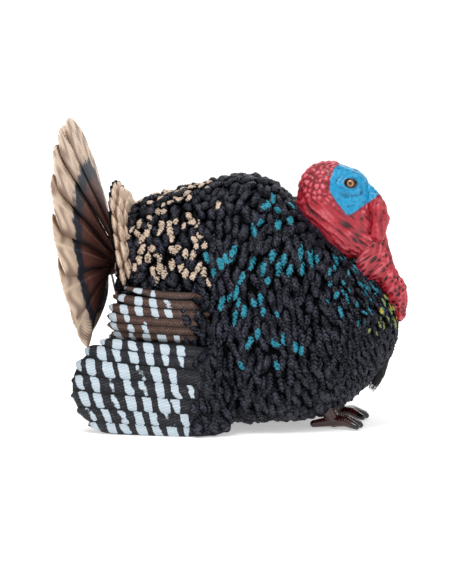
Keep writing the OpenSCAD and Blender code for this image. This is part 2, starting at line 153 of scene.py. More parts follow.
azimuth, elevation = math.radians(8), math.radians(7.5)
view_width, frame_ratio = 0.756, 584 / 452
camera_distance = 6.0
camera_target = Vector((0.008, 0, 0.218))
camera_back = Vector(
    (
        math.sin(azimuth) * math.cos(elevation),
        -math.cos(azimuth) * math.cos(elevation),
        math.sin(elevation),
    )
)
lens = bpy.data.cameras.new("camera")
lens.sensor_width = 36
lens.lens = 36 * camera_distance / (view_width * frame_ratio)
camera = bpy.data.objects.new("camera", lens)
camera.location = camera_target + camera_back * camera_distance
camera.rotation_euler = (-camera_back).to_track_quat("-Z", "Y").to_euler()
bpy.context.collection.objects.link(camera)
bpy.context.scene.camera = camera

# ---------------------------------------------------------------------------
# Body plumage.
# The hollow body is moulded in two halves, and its feathers stand out of the
# moulding as thick ridged lobes. It is painted blue-black, dry-brushed with a
# warm grey, and dabbed by hand with teal, cream and green.

MM = 0.001


def smooth(low, high, x):
    t = np.clip((x - low) / (high - low), 0, 1)
    return t * t * (3 - 2 * t)


def blob(x, z, at, radii):
    """1 at a spot on the flank and 0 a little beyond the given radii."""
    return np.clip(1.25 - ((x - at[0]) / radii[0]) ** 2 - ((z - at[1]) / radii[1]) ** 2, 0, 1)


def unit(v):
    return v / np.maximum(np.linalg.norm(v, axis=-1, keepdims=True), 1e-9)


def node_verts(*nodes):
    """The vertices of CAD nodes, in millimetres."""
    found = []
    for node in nodes:
        made = frame["nodes"][node]
        co = np.empty(3 * len(made.data.vertices))
        made.data.vertices.foreach_get("co", co)
        turn = np.array(made.matrix_world)
        found.append(co.reshape(-1, 3) @ turn[:3, :3].T + turn[:3, 3])
    return np.concatenate(found) / MM


def convex_skin(points):
    """The convex skin round some points, as a bmesh in millimetres."""
    skin = bmesh.new()
    for p in np.unique(np.round(points, 2), axis=0):
        skin.verts.new(p)
    hull = bmesh.ops.convex_hull(skin, input=skin.verts)
    bmesh.ops.delete(skin, geom=list(set(hull["geom_interior"] + hull["geom_unused"])), context="VERTS")
    bmesh.ops.recalc_face_normals(skin, faces=skin.faces)
    skin.normal_update()
    return skin


def feather_bank(centre, across, normal, half, top, depth, under=3):
    """Closed feathers from rows of cross-sections, all in millimetres.

    centre, across and normal are (feathers, rows, 3), half is (feathers, rows), top is
    (feathers, rows, columns) above the centre line and depth is the thickness in the middle.
    """
    count, rows, columns = top.shape
    v = np.linspace(-1, 1, columns)
    low = np.linspace(1, -1, under + 2)[1:-1]
    low_top = np.stack(
        [top[..., int(round((w + 1) / 2 * (columns - 1)))] for w in low], axis=-1
    )
    low_top = low_top - depth[..., None] * np.sqrt(1 - low**2)
    side = np.concatenate([v, low])
    rise = np.concatenate([top, low_top], axis=-1)
    points = (
        centre[:, :, None, :]
        + across[:, :, None, :] * (half[..., None] * side)[..., None]
        + normal[:, :, None, :] * rise[..., None]
    )
    ring = columns + under
    base = (np.arange(count) * rows * ring)[:, None, None]
    row = (np.arange(rows - 1) * ring)[None, :, None]
    here = np.arange(ring)[None, None, :]
    following = (here + 1) % ring
    quads = np.stack(
        [
            base + row + here,
            base + row + following,
            base + row + ring + following,
            base + row + ring + here,
        ],
        axis=-1,
    ).reshape(-1, 4)
    faces = quads.tolist()
    starts = (np.arange(count) * rows * ring).tolist()
    for s in starts:
        faces.append(list(range(s + ring - 1, s - 1, -1)))
        faces.append(list(range(s + (rows - 1) * ring, s + rows * ring)))
    return points, faces


body_nodes = ("body_shell_left", "body_shell_right")
skin = convex_skin(node_verts(*body_nodes))
bmesh.ops.triangulate(skin, faces=skin.faces)
skin_verts = np.array([v.co for v in skin.verts])
skin_normals = np.array([v.normal for v in skin.verts])
skin.verts.index_update()
skin_tris = np.array([[v.index for v in f.verts] for f in skin.faces])
skin.free()

rng = np.random.default_rng(11)
corners = skin_verts[skin_tris]
area = np.linalg.norm(np.cross(corners[:, 1] - corners[:, 0], corners[:, 2] - corners[:, 0]), axis=1)
tries, wing_tries = 26000, 9000
pick = rng.choice(len(area), tries, p=area / area.sum())
mix = rng.dirichlet((1, 1, 1), tries)
spot = np.einsum("ij,ijk->ik", mix, corners[pick])
out = unit(np.einsum("ij,ijk->ik", mix, skin_normals[skin_tris[pick]]))

covers = {
    "wing_primaries_left": 12, "wing_primaries_right": 12,
    "wing_secondaries_left": 10, "wing_secondaries_right": 10,
    "head_shell": 14, "tail_covert_ring": 2, "belly_plate": 6, "tail_socket": 20,
}
clear = np.ones(tries, dtype=bool)
# Lobes aren't set under the wings, the ruff, the head or the belly plate.
for node, reach in covers.items():
    made = frame["nodes"][node]
    tree = BVHTree.FromObject(made, bpy.context.evaluated_depsgraph_get())
    for i in np.nonzero(clear)[0]:
        hit = tree.ray_cast(Vector((spot[i] + out[i] * 1.5) * MM), Vector(out[i]), reach * MM)
        clear[i] = hit[0] is None
spot, out = spot[clear], out[clear]

# The front end of each wing is covered by the same lobes.
for word in ("left", "right"):
    for node, from_x in ((f"wing_primaries_{word}", -14), (f"wing_secondaries_{word}", -30)):
        verts = node_verts(node)
        polygons = frame["nodes"][node].data.polygons
        tris = np.array([tuple(p.vertices) for p in polygons])
        corners = verts[tris]
        normals = np.cross(corners[:, 1] - corners[:, 0], corners[:, 2] - corners[:, 0])
        area = np.linalg.norm(normals, axis=1)
        middle = corners.mean(axis=1)
        outward = np.sign(middle[:, 1]) * normals[:, 1] + 0.6 * normals[:, 0] > 0.25 * area
        area = area * outward * (middle[:, 2] > 5)
        pick = rng.choice(len(area), wing_tries, p=area / area.sum())
        on_wing = np.einsum("ij,ijk->ik", rng.dirichlet((1, 1, 1), wing_tries), corners[pick])
        front_end = on_wing[:, 0] > from_x + rng.normal(0, 4, wing_tries)
        spot = np.concatenate([on_wing[front_end], spot])
        out = np.concatenate([unit(normals[pick])[front_end], out])

x, y, z = spot.T
flank_side = np.sign(y)
front = smooth(150, 235, x)
rump = smooth(15, -15, x) * smooth(225, 265, z)
mantle = smooth(255, 300, z) * (1 - rump) * (1 - front)
low = smooth(95, 40, z)
visible_long = 23 + 2 * mantle - 8 * rump - 8 * front + 7 * low
visible_wide = 12.5 + 1.5 * mantle + 1.0 * rump - 4.7 * front + 2 * low

# Feathers lie down and back, more so on top, and swirl a little.
swirl = np.array([noise.noise(Vector(p) * 0.018) for p in spot])
heading = np.stack(
    [
        -0.25 * mantle - 0.5 * smooth(0.75, 1.0, out[:, 2]) + 0.25 * front + 0.4 * swirl,
        1.1 * flank_side * out[:, 2],
        -np.ones(len(x)),
    ],
    axis=1,
)
flow = unit(heading - out * np.sum(heading * out, axis=1, keepdims=True))
cross = np.cross(out, flow)

kept = []
closest = 0.62
for i in range(len(spot)):
    if kept:
        gap = spot[kept] - spot[i]
        reach = (
            (gap @ flow[i] / visible_long[i]) ** 2
            + (gap @ cross[i] / visible_wide[i]) ** 2
            + (gap @ out[i] / visible_long[i]) ** 2
        )
        if reach.min() < closest:
            continue
    kept.append(i)
spot, out, flow, cross = spot[kept], out[kept], flow[kept], cross[kept]
visible_long, visible_wide = visible_long[kept], visible_wide[kept]
x, y, z, rump, mantle, front, low = (a[kept] for a in (x, y, z, rump, mantle, front, low))
lobes = len(kept)

rows, columns = 29, 9
u = np.linspace(0, 1, rows)
v = np.linspace(-1, 1, columns)
long = visible_long * rng.uniform(1.35, 1.85, lobes)
wide = visible_wide * rng.uniform(0.54, 0.78, lobes)
bulk = (0.36 + 0.24 * rng.random(lobes)) * visible_wide
lift = 3.0 + 5.0 * rng.random(lobes) - 2.0 * front
skew = np.radians(rng.normal(4, 15, lobes))
flow_turned = flow * np.cos(skew)[:, None] + cross * np.sin(skew)[:, None]
cross_turned = np.cross(out, flow_turned)
bend = rng.normal(0, 0.10, lobes)
sag = long**2 / 900.0

along = (u[None, :] - 0.32) * long[:, None]
centre = (
    spot[:, None, :]
    + flow_turned[:, None, :] * along[..., None]
    + cross_turned[:, None, :] * (bend[:, None] * long[:, None] * (u[None, :] - 0.3) ** 2)[..., None]
    + out[:, None, :] *
    (-1.5 + lift[:, None] * u[None, :] - sag[:, None] * (u[None, :] - 0.32) ** 2 * 3.4)[..., None]
)
half = wide[:, None] * (np.sin(np.pi * np.clip(u * 0.92 + 0.06, 0, 1)) ** 0.26)[None, :]
plump = bulk[:, None] * (np.sin(np.pi * np.clip(u * 0.86 + 0.06, 0, 1)) ** 0.5)[None, :]
dome = (1 - np.abs(v) ** 2.6)[None, None, :] * plump[..., None]
barb_step = rng.uniform(4.6, 7.4, lobes)[:, None, None]
phase = rng.random(lobes)[:, None, None]
lump = rng.normal(0, 0.5, (lobes, rows, columns))
for _ in range(2):
    lump[:, 1:] = (lump[:, 1:] + lump[:, :-1]) * 0.72
run = u[None, :, None] * long[:, None, None]
chevron = 0.75 * np.abs(v) * wide[:, None, None] + 1.2 * lump
barb = 2.0 * np.abs(np.sin(np.pi * ((run - chevron) / barb_step + phase))) ** 0.8 - 1.2
knot = np.sin(run / 5.5 + 9 * phase + 1.5 * v * np.cos(7 * phase))
top = (
    dome
    + (0.95 * barb + 1.1 * lump + 0.55 * knot) * (1 - v**4) * np.clip(plump / bulk[:, None], 0, 1)[..., None]
)
half = half * (1 + 0.10 * np.sin(run[..., 0] / 3.1 + 12 * phase[:, :, 0]) + 0.015 * barb[..., 4])
points, faces = feather_bank(
    centre,
    np.repeat(cross_turned[:, None, :], rows, axis=1),
    np.repeat(out[:, None, :], rows, axis=1),
    half,
    top,
    plump + 2.5,
)

under = points.shape[2] - columns
relief = 0.40 + 0.30 * barb + 0.14 * lump + 0.12 * knot + 0.46 * (dome / bulk[:, None, None] - 0.55)
relief = np.concatenate([np.clip(relief, 0, 1), np.zeros((lobes, rows, under))], axis=2)
seed = np.broadcast_to(rng.random(lobes)[:, None, None], relief.shape)
side = np.concatenate([v, np.zeros(under)])
quill = np.stack(
    [
        np.broadcast_to(u[None, :, None] * long[:, None, None], relief.shape),
        np.broadcast_to(side * wide[:, None, None], relief.shape),
        seed * 1000,
    ],
    axis=-1,
)

draw = rng.random((5, lobes))
teal_zone = np.max(
    [
        0.62 * blob(x, z, (85, 355), (62, 42)),
        0.85 * blob(x, z, (85, 285), (92, 30)),
        0.7 * blob(x, z, (70, 225), (62, 26)),
        0.5 * blob(x, z, (100, 150), (62, 34)),
        0.55 * blob(x, z, (235, 255), (60, 80)),
    ],
    axis=0,
)
cream_zone = 0.58 * rump * smooth(240, 275, z) * smooth(20, -10, x)
green_zone = 0.5 * blob(x, z, (280, 190), (26, 36))
teal = draw[0] < teal_zone
cream = draw[1] < cream_zone
green = draw[2] < green_zone
yellow = draw[3] < 0.35 * blob(x, z, (286, 205), (18, 26))
# A dab covers part of a lobe: it starts and ends at its own place along it.
dab_mid = rng.uniform(0.45, 0.68, lobes)[:, None, None]
dab_half = rng.uniform(0.16, 0.36, lobes)[:, None, None]
dab_aside = rng.uniform(-0.4, 0.4, lobes)[:, None, None] * (1 - 0.6 * rump)[:, None, None]
dab_half = dab_half * (1 + 0.5 * rump)[:, None, None]
dab_shape = np.clip(
    1.6
    - np.abs((u[None, :, None] - dab_mid) / dab_half) ** 2.5
    - np.abs((side[None, None, :] - dab_aside) / 0.52) ** 2.5
    + np.concatenate([0.45 * lump + 0.35 * barb, np.zeros((lobes, rows, under))], axis=2),
    0,
    1,
)
dab_shape = dab_shape * (relief > 0.02)
dabs = np.stack(
    [
        dab_shape * teal[:, None, None],
        dab_shape * (cream & ~teal)[:, None, None],
        dab_shape * (green | yellow)[:, None, None] * np.where(yellow, 1.0, 0.5)[:, None, None],
    ],
    axis=-1,
)

def mix(tree, factor, low, high):
    """A colour between two, each a hex code or a link."""
    low, high = (linear(c) if isinstance(c, str) else c for c in (low, high))
    return add(tree, "ShaderNodeMix", {"Factor": factor, 6: low, 7: high}, data_type="RGBA")


def ramp(tree, value, start, end, to_start=0.0, to_end=1.0):
    """A value brought from one range to another, and held at its ends."""
    made = {"Value": value, "From Min": start, "From Max": end, "To Min": to_start, "To Max": to_end}
    return add(tree, "ShaderNodeMapRange", made)


def scaled(tree, value, by, plus):
    """value * by + plus."""
    return add(tree, "ShaderNodeMath", {0: value, 1: by, 2: plus}, operation="MULTIPLY_ADD")


def speckle(tree, place, scale, detail):
    """Noise fixed to the piece."""
    where = place.outputs["Object"]
    return add(tree, "ShaderNodeTexNoise", {"Vector": where, "Scale": scale, "Detail": detail})


def dents(tree, height, strength, distance):
    """Fine bump from a height."""
    return add(tree, "ShaderNodeBump", {"Height": height, "Strength": strength, "Distance": distance})


# Acrylic paint on moulded plastic: a flat blue-black coat that sinks to black in
# the grooves as painted shade, a dry-brushed grey that catches only the ridges,
# and thick dabs.
plumage_paint, tree = material("acrylic_paint_plumage")
relief_mark = add(tree, "ShaderNodeAttribute", attribute_name="relief")
quill_mark = add(tree, "ShaderNodeAttribute", attribute_name="quill")
dab_mark = add(tree, "ShaderNodeAttribute", attribute_name="dabs")
place = add(tree, "ShaderNodeTexCoord")
grain = speckle(tree, place, 260.0, 4.0)
patches = speckle(tree, place, 22.0, 2.0)
quill_parts = add(tree, "ShaderNodeSeparateXYZ", {0: quill_mark.outputs["Vector"]})
across = add(tree, "ShaderNodeMath", {0: quill_parts.outputs[1]}, operation="ABSOLUTE")
slant = scaled(tree, across.outputs[0], -0.75, quill_parts.outputs[0])
# Fine barbs 1.6 mm apart, three or four to each moulded ridge.
barbs = add(tree, "ShaderNodeMath", {0: slant.outputs[0], 1: 2 * math.pi / 1.6}, operation="MULTIPLY")
barb_wave = add(tree, "ShaderNodeMath", {0: barbs.outputs[0]}, operation="SINE")
brush = scaled(tree, grain.outputs["Fac"], 0.9, relief_mark.outputs["Fac"])
brush_edge = ramp(tree, brush.outputs[0], 1.05, 1.55, 0.0, 0.7)
# Painted shade: the coat sinks to near-black where the relief is low, in the grooves between and within the
# lobes.
plumage_groove_shade = ramp(tree, relief_mark.outputs["Fac"], 0.15, 0.75)
coat = mix(tree, plumage_groove_shade.outputs[0], "#010102", "#10141f")
warmth = mix(tree, patches.outputs["Fac"], "#303b50", "#52485a")
brushed = mix(tree, brush_edge.outputs[0], coat.outputs[2], warmth.outputs[2])
dab_parts = add(tree, "ShaderNodeSeparateXYZ", {0: dab_mark.outputs["Vector"]})
painted = brushed.outputs[2]
dab_paints = ((0, "#042a38", "#2890a6"), (1, "#4a382f", "#e0c8b2"), (2, "#1d7f62", "#b9a43c"))
ridge_tops = ramp(tree, relief_mark.outputs["Fac"], 0.22, 0.46)
for part, dark, light in dab_paints:
    ragged = scaled(tree, grain.outputs["Fac"], 0.8, dab_parts.outputs[part])
    if part == 2:
        edge = ramp(tree, ragged.outputs[0], 0.64, 0.74)
        tone_from = dab_parts.outputs[part]
    else:
        edge = ramp(tree, ragged.outputs[0], 0.86, 0.98)
        tone_from = relief_mark.outputs["Fac"]
    # Teal and cream are darker where the relief is low: painted shade in the grooves.
    tone = mix(tree, tone_from, linear(dark), linear(light))
    on_ridges = add(
        tree,
        "ShaderNodeMath",
        {0: edge.outputs[0], 1: ridge_tops.outputs[0]},
        operation="MULTIPLY",
    )
    painted = mix(tree, on_ridges.outputs[0], painted, tone.outputs[2]).outputs[2]
# The ridges are worn to a slight sheen and the grooves stay dead flat.
sheen = ramp(tree, relief_mark.outputs["Fac"], 0.3, 0.95, 0.04, 0.42)
height = scaled(tree, barb_wave.outputs[0], 0.5, grain.outputs["Fac"])
bump = dents(tree, height.outputs[0], 0.3, 0.0006)
surface(
    tree,
    {
        "Base Color": painted,
        "Roughness": 0.42,
        "Specular IOR Level": sheen.outputs[0],
        "Normal": bump.outputs[0],
    },
)

# The lobes are kept in pieces of a few hundred, by side and by region.
points[..., 2] = np.maximum(points[..., 2], 2.0)
marks = {
    "relief": relief.reshape(lobes, -1),
    "quill": quill.reshape(lobes, -1, 3),
    "dabs": dabs.reshape(lobes, -1, 3),
}
flat_points = points.reshape(lobes, -1, 3)
per_lobe = flat_points.shape[1]
lobe_faces = [face for face in faces if max(face) < per_lobe]
regions = {
    "rump": (x < -15) & (z > 200),
    "mantle": (x >= -15) & (z > 265),
    "chest": (x > 165) & (z <= 265),
}
regions["flank"] = ~(regions["rump"] | regions["mantle"] | regions["chest"])
most = 250
for region, inside in regions.items():
    for side_name, on_side in (("left", y > 0), ("right", y <= 0)):
        chosen = np.nonzero(inside & on_side)[0]
        chosen = chosen[np.argsort(spot[chosen, 2], kind="stable")]
        for part in range(-(-len(chosen) // most)):
            group = chosen[part * most : (part + 1) * most]
            piece_faces = [
                [n + i * per_lobe for n in face] for i in range(len(group)) for face in lobe_faces
            ]
            piece = mesh_piece(
                f"plumage_{region}_{side_name}_{part + 1}",
                flat_points[group].reshape(-1, 3) * MM,
                piece_faces,
                plumage_paint,
                {key: values[group].reshape((-1,) + values.shape[2:]) for key, values in marks.items()},
            )
            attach(piece, "root")



def repaint(node, coat):
    """Gives a CAD node its finish."""
    frame["nodes"][node].data.materials.clear()
    frame["nodes"][node].data.materials.append(coat)


for node in body_nodes:
    repaint(node, plumage_paint)

# ---------------------------------------------------------------------------
# Tail fan.
# Thirteen moulded feathers turn on one bolt, each with a raised quill and barbs
# slanting out from it. They are painted brown-red, then a ragged dark band, then
# a buff tip, and the grooves and feather edges are darkened as painted shade.

record = frame["record"]
joints = {joint["name"]: joint for joint in record["behaviour"]["joints"]}
pivot = np.array(joints["wing_nut_turn"]["pos_m"]) / MM
fan_back = unit(np.array(joints["wing_nut_turn"]["axis"], dtype=float))
fan_up = np.array([fan_back[2], 0.0, -fan_back[0]])
fan_left = np.array([0.0, 1.0, 0.0])

fan_step = 18.3
fan_length = 256.0
stack_start, stack_pitch = 13.6, 2.4
fan_sweep = math.tan(math.radians(10))
vane = 1.4
eye_disc_r, bolt_hole_r, eye_disc = 16.0, 4.2, 2.3


def closed_grid(front, back):
    """A closed mesh between two grids of points of the same shape."""
    rows, columns = front.shape[:2]
    ring = np.concatenate([front, back[:, ::-1]], axis=1)
    count = 2 * columns
    faces = []
    for i in range(rows - 1):
        for j in range(count):
            k = (j + 1) % count
            faces.append((i * count + j, i * count + k, (i + 1) * count + k, (i + 1) * count + j))
    for i, turned in ((0, 1), (rows - 1, -1)):
        for j in range(columns - 1):
            quad = (
                i * count + j,
                i * count + 2 * columns - 1 - j,
                i * count + 2 * columns - 2 - j,
                i * count + j + 1,
            )
            faces.append(quad[::turned])
    return ring.reshape(-1, 3), faces


def washer(inner, outer, low, high, sides=40):
    """A flat ring round the origin, as points and faces."""
    angles = np.arange(sides) * 2 * math.pi / sides
    points = [
        (r * math.cos(a), r * math.sin(a), h)
        for a in angles
        for r, h in ((inner, low), (outer, low), (outer, high), (inner, high))
    ]
    faces = []
    for i in range(sides):
        j = (i + 1) % sides
        for a in range(4):
            b = (a + 1) % 4
            faces.append((4 * i + a, 4 * j + a, 4 * j + b, 4 * i + b))
    return np.array(points), faces


fan_paint, tree = material("acrylic_paint_fan_feathers")
relief_mark = add(tree, "ShaderNodeAttribute", attribute_name="relief")
quill_mark = add(tree, "ShaderNodeAttribute", attribute_name="quill")
quill_parts = add(tree, "ShaderNodeSeparateXYZ", {0: quill_mark.outputs["Vector"]})
# The quill's third number is how far along the feather a point is, plus a whole
# number that makes each feather's paint its own.
place = add(tree, "ShaderNodeTexCoord")
grain = speckle(tree, place, 190.0, 4.0)
ragged = speckle(tree, place, 70.0, 3.0)
across = add(tree, "ShaderNodeMath", {0: quill_parts.outputs[1]}, operation="ABSOLUTE")
slant = scaled(tree, across.outputs[0], -0.8, quill_parts.outputs[0])
# Painted barb lines 2.2 mm apart, drawn coarser than a real feather's.
streak_way = add(tree, "ShaderNodeMath", {0: slant.outputs[0], 1: 2 * math.pi / 2.2}, operation="MULTIPLY")
streaks = add(tree, "ShaderNodeMath", {0: streak_way.outputs[0]}, operation="SINE")
share = add(tree, "ShaderNodeMath", {0: quill_parts.outputs[2]}, operation="FRACT")
edge_wobble = scaled(tree, ragged.outputs["Fac"], 0.16, share.outputs[0])
edge_streaked = scaled(tree, streaks.outputs[0], 0.012, edge_wobble.outputs[0])
band = ramp(tree, edge_streaked.outputs[0], 0.64, 0.68)
tip = ramp(tree, edge_streaked.outputs[0], 0.775, 0.795)
# Painted shade: dark in the grooves and along each feather's edges, where the feathers lie over one another;
# the buff tips darken the same way.
edge_and_groove_shade = ramp(tree, relief_mark.outputs["Fac"], 0.12, 0.62)
brush = scaled(tree, grain.outputs["Fac"], 0.8, relief_mark.outputs["Fac"])
brushed = ramp(tree, brush.outputs[0], 0.95, 1.35)
base_low = mix(tree, edge_and_groove_shade.outputs[0], "#150f12", "#6a3a30")
base = mix(tree, brushed.outputs[0], base_low.outputs[2], "#a07a6c")
dark = mix(tree, brushed.outputs[0], "#141722", "#4c5566")
buff_low = mix(tree, edge_and_groove_shade.outputs[0], "#8d7264", "#dfc3a9")
buff = mix(tree, brushed.outputs[0], buff_low.outputs[2], "#ecd8c4")
smudges = ramp(tree, ragged.outputs["Fac"], 0.69, 0.76, 0.0, 0.7)
smudged = mix(tree, smudges.outputs[0], buff.outputs[2], "#5b6478")
banded = mix(tree, band.outputs[0], base.outputs[2], dark.outputs[2])
tipped = mix(tree, tip.outputs[0], banded.outputs[2], smudged.outputs[2])
height = scaled(tree, streaks.outputs[0], 0.5, grain.outputs["Fac"])
bump = dents(tree, height.outputs[0], 0.6, 0.0006)
surface(
    tree,
    {
        "Base Color": tipped.outputs[2],
        "Roughness": 0.55,
        "Specular IOR Level": 0.35,
        "Normal": bump.outputs[0],
    },
)

rows, columns = 84, 25
v = np.linspace(-1, 1, columns)
rng = np.random.default_rng(23)
for number in range(-6, 7):
    k = abs(number)
    side = 1 if number > 0 else -1
    name = "centre" if k == 0 else f"{'left' if side > 0 else 'right'}_{k}"
    layer = 0 if k == 0 else 2 * k - (1 if side < 0 else 0)
    length = fan_length * (1 - 0.14 * (k / 6) ** 5)
    lump = rng.normal(0, 1, 9)
    wave = sum(lump[i] * np.cos((i + 2) * math.pi * v + lump[8 - i]) for i in range(4)) * 0.5
    nick = 2.6 * np.exp(-(((v - rng.uniform(-0.6, 0.6)) / 0.12) ** 2))
    end = length - 22 * np.abs(v) ** 2.4 - np.abs(wave) - nick
    t = np.linspace(10 / length, 1, rows)[:, None]
    x = t * end[None, :]
    half = 5 + 0.172 * np.minimum(x, length - 22)
    half = half * (1 + 0.02 * np.sin(x / 9 + lump[0] * 3) + 0.24 * smooth(80, 200, x))
    y = v[None, :] * half
    radius = np.sqrt(x**2 + y**2)
    drop = np.maximum(radius - eye_disc_r, 0) * fan_sweep
    outward = -v[None, :] * side if k else -np.abs(v)[None, :] * 0.8
    # The inner feathers are flatter, so that left and right ones close over each other.
    twist = 4.2 * smooth(0.5, 4.5, k) * smooth(60, 250, radius) * outward
    barb = np.sin(2 * math.pi * (x - 0.8 * np.abs(y)) / 6.2 + lump[1] * 3)
    folds = np.sin(x / 7.5 + 1.7 * np.sin(y / 9 + lump[2]) + lump[3]) * smooth(0.7, 0.9, t)
    quill_ridge = np.exp(-((y / 1.9) ** 2))
    rib = np.clip(np.abs(v[None, :]) * 6, 0, 1) * (1 - v[None, :] ** 8)
    height = 0.55 * quill_ridge + (0.30 * barb + 0.34 * folds) * rib + 0.15
    height = height * np.clip((radius - 14) / 8, 0, 1)
    crisp = -1.1 * np.abs(v[None, :]) ** 6
    front_rise = drop + twist - height - crisp * 0.6
    back_rise = drop + twist + vane + crisp * 0.2
    angle = math.radians(number * fan_step)
    ray = fan_up * math.cos(angle) + fan_left * math.sin(angle)
    sidewise = -fan_up * math.sin(angle) + fan_left * math.cos(angle)
    start = pivot + fan_back * (stack_start + layer * stack_pitch)

    def placed(rise, x=x, y=y, ray=ray, sidewise=sidewise, start=start):
        return start + x[..., None] * ray + y[..., None] * sidewise + rise[..., None] * fan_back

    points, faces = closed_grid(placed(front_rise), placed(back_rise))
    relief = np.clip(
        0.52 + 0.3 * barb * rib + 0.3 * folds * rib + 0.25 * quill_ridge - 0.75 * np.abs(v) ** 5, 0, 1,
    )
    back_relief = np.clip(0.5 + 0.3 * barb + 0 * x, 0, 1)
    share_of = np.minimum(x / length, 0.985) + (number + 7)
    marks = {
        "relief": np.concatenate([relief, back_relief[:, ::-1]], axis=1).ravel(),
        "quill": np.concatenate(
            [np.stack([x, y, share_of], axis=-1), np.stack([x, y, share_of], axis=-1)[:, ::-1]], axis=1
        ).reshape(-1, 3),
    }
    ring_points, ring_faces = washer(bolt_hole_r, eye_disc_r, 0, eye_disc)
    ring_points = (
        start + ring_points[:, :1] * ray + ring_points[:, 1:2] * sidewise + ring_points[:, 2:] * fan_back
    )
    faces += [tuple(n + len(points) for n in face) for face in ring_faces]
    extra = len(ring_points)
    marks["relief"] = np.concatenate([marks["relief"], np.full(extra, 0.3)])
    marks["quill"] = np.concatenate([marks["quill"], np.tile([0.0, 9.0, number + 7.05], (extra, 1))])
    points = np.concatenate([points, ring_points])
    node = "tail_feather_" + name
    piece = mesh_piece("fan_" + name, points * MM, faces, fan_paint, marks)
    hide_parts(node)
    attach(piece, "tail" if k == 0 else "feather_" + name)

# ---------------------------------------------------------------------------
# Ring of coverts ahead of the fan, and the undertail rosette behind it.
# Short upright coverts hide the fan's hub from the front. They are moulded in
# one ring, brown-red with buff tips, and the rosette does the same behind.


def covert_rows(layers, toward, up, left, tip_from):
    """Feathers laid round the tail's axis; each layer says where it lies and how many it has."""
    centre, across, normal, half, tops, depths, marks_u = [], [], [], [], [], [], []
    rows, columns = 15, 9
    u = np.linspace(0, 1, rows)
    v = np.linspace(-1, 1, columns)
    for r_from, r_to, lift, tip_lift, spread, count, bulk in layers:
        for i in range(count):
            whole = spread >= 360
            angle = math.radians(
                -spread / 2 + spread * (i + 0.5) / count + (0 if whole else rng.normal(0, 1.2))
            )
            ray = up * math.cos(angle) + left * math.sin(angle)
            tangent = -up * math.sin(angle) + left * math.cos(angle)
            to = r_to * (1 + rng.normal(0, 0.02))
            r = r_from + (to - r_from) * u
            rise = lift + tip_lift * u**1.5 + rng.normal(0, 0.4)
            step = 2 * math.pi * to * spread / 360 / count
            plump = bulk * np.sin(math.pi * np.clip(u * 0.88 + 0.08, 0, 1)) ** 0.55
            barb = np.sin(2 * math.pi * (r[:, None] - 0.6 * np.abs(v) * step / 2) / 5.2 + rng.uniform(0, 6))
            centre.append(pivot + ray * r[:, None] + toward * rise[:, None])
            across.append(np.tile(tangent, (rows, 1)))
            normal.append(np.tile(toward, (rows, 1)))
            half.append(step * 0.62 * np.sin(math.pi * np.clip(u * 0.62 + 0.28, 0, 1)) ** 0.5)
            tops.append((1 - np.abs(v) ** 2.4) * plump[:, None] + 0.5 * barb * (1 - v**4))
            depths.append(plump + 1.6)
            marks_u.append((barb, u, step))
    points, faces = feather_bank(
        np.array(centre), np.array(across), np.array(normal), np.array(half), np.array(tops), np.array(depths)
    )
    under = points.shape[2] - columns
    relief, quill = [], []
    for n, (barb, u, step) in enumerate(marks_u):
        dome = (1 - np.abs(v) ** 2.4)[None, :]
        relief.append(
            np.concatenate([np.clip(0.3 + 0.25 * barb + 0.4 * dome, 0, 1), np.zeros((rows, under))], axis=1)
        )
        aside = np.concatenate([v * step / 2, np.zeros(under)])
        share_of = tip_from + 0.46 * u[:, None] + 0 * aside[None, :]
        quill.append(
            np.stack(
                [u[:, None] * 40 + 0 * aside[None, :], aside[None, :] + 0 * share_of, share_of + n], axis=-1,
            )
        )
    return points.reshape(-1, 3), faces, {
        "relief": np.array(relief).ravel(),
        "quill": np.array(quill).reshape(-1, 3),
    }


points, faces, marks = covert_rows(
    (
        (66, 134, -4.0, 4.0, 208, 14, 7.5),
        (60, 124, 1.0, 8.0, 202, 12, 9.0),
        (52, 106, 5.0, 9.0, 200, 11, 8.0),
    ),
    -fan_back, fan_up, fan_left, 0.47,
)
ruff = mesh_piece("covert_ring_feathers", points * MM, faces, fan_paint, marks)
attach(ruff, "root")

rosette_start = 50.5
sweep = math.tan(math.radians(30))
points, faces, marks = covert_rows(
    (
        (34, 104, rosette_start + 1 + 4 * sweep, 70 * sweep, 360, 22, 2.6),
        (28, 80, rosette_start + 3, 50 * sweep, 360, 17, 3.0),
        (22, 56, rosette_start + 4, 26 * sweep, 360, 12, 3.0),
    ),
    fan_back, fan_up, fan_left, 0.44,
)
rosette = mesh_piece("undertail_feathers", points * MM, faces, fan_paint, marks)
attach(rosette, "tail")
for node in ("tail_covert_ring", "undertail_coverts"):
    repaint(node, plumage_paint)

# ---------------------------------------------------------------------------
# Wings.
# Each drooped wing is two mouldings, the long primaries that drag on the ground
# and the secondaries above them. Long flat feathers lie along them, painted dark
# grey or brown, with pale bars dabbed across in slanting rows.

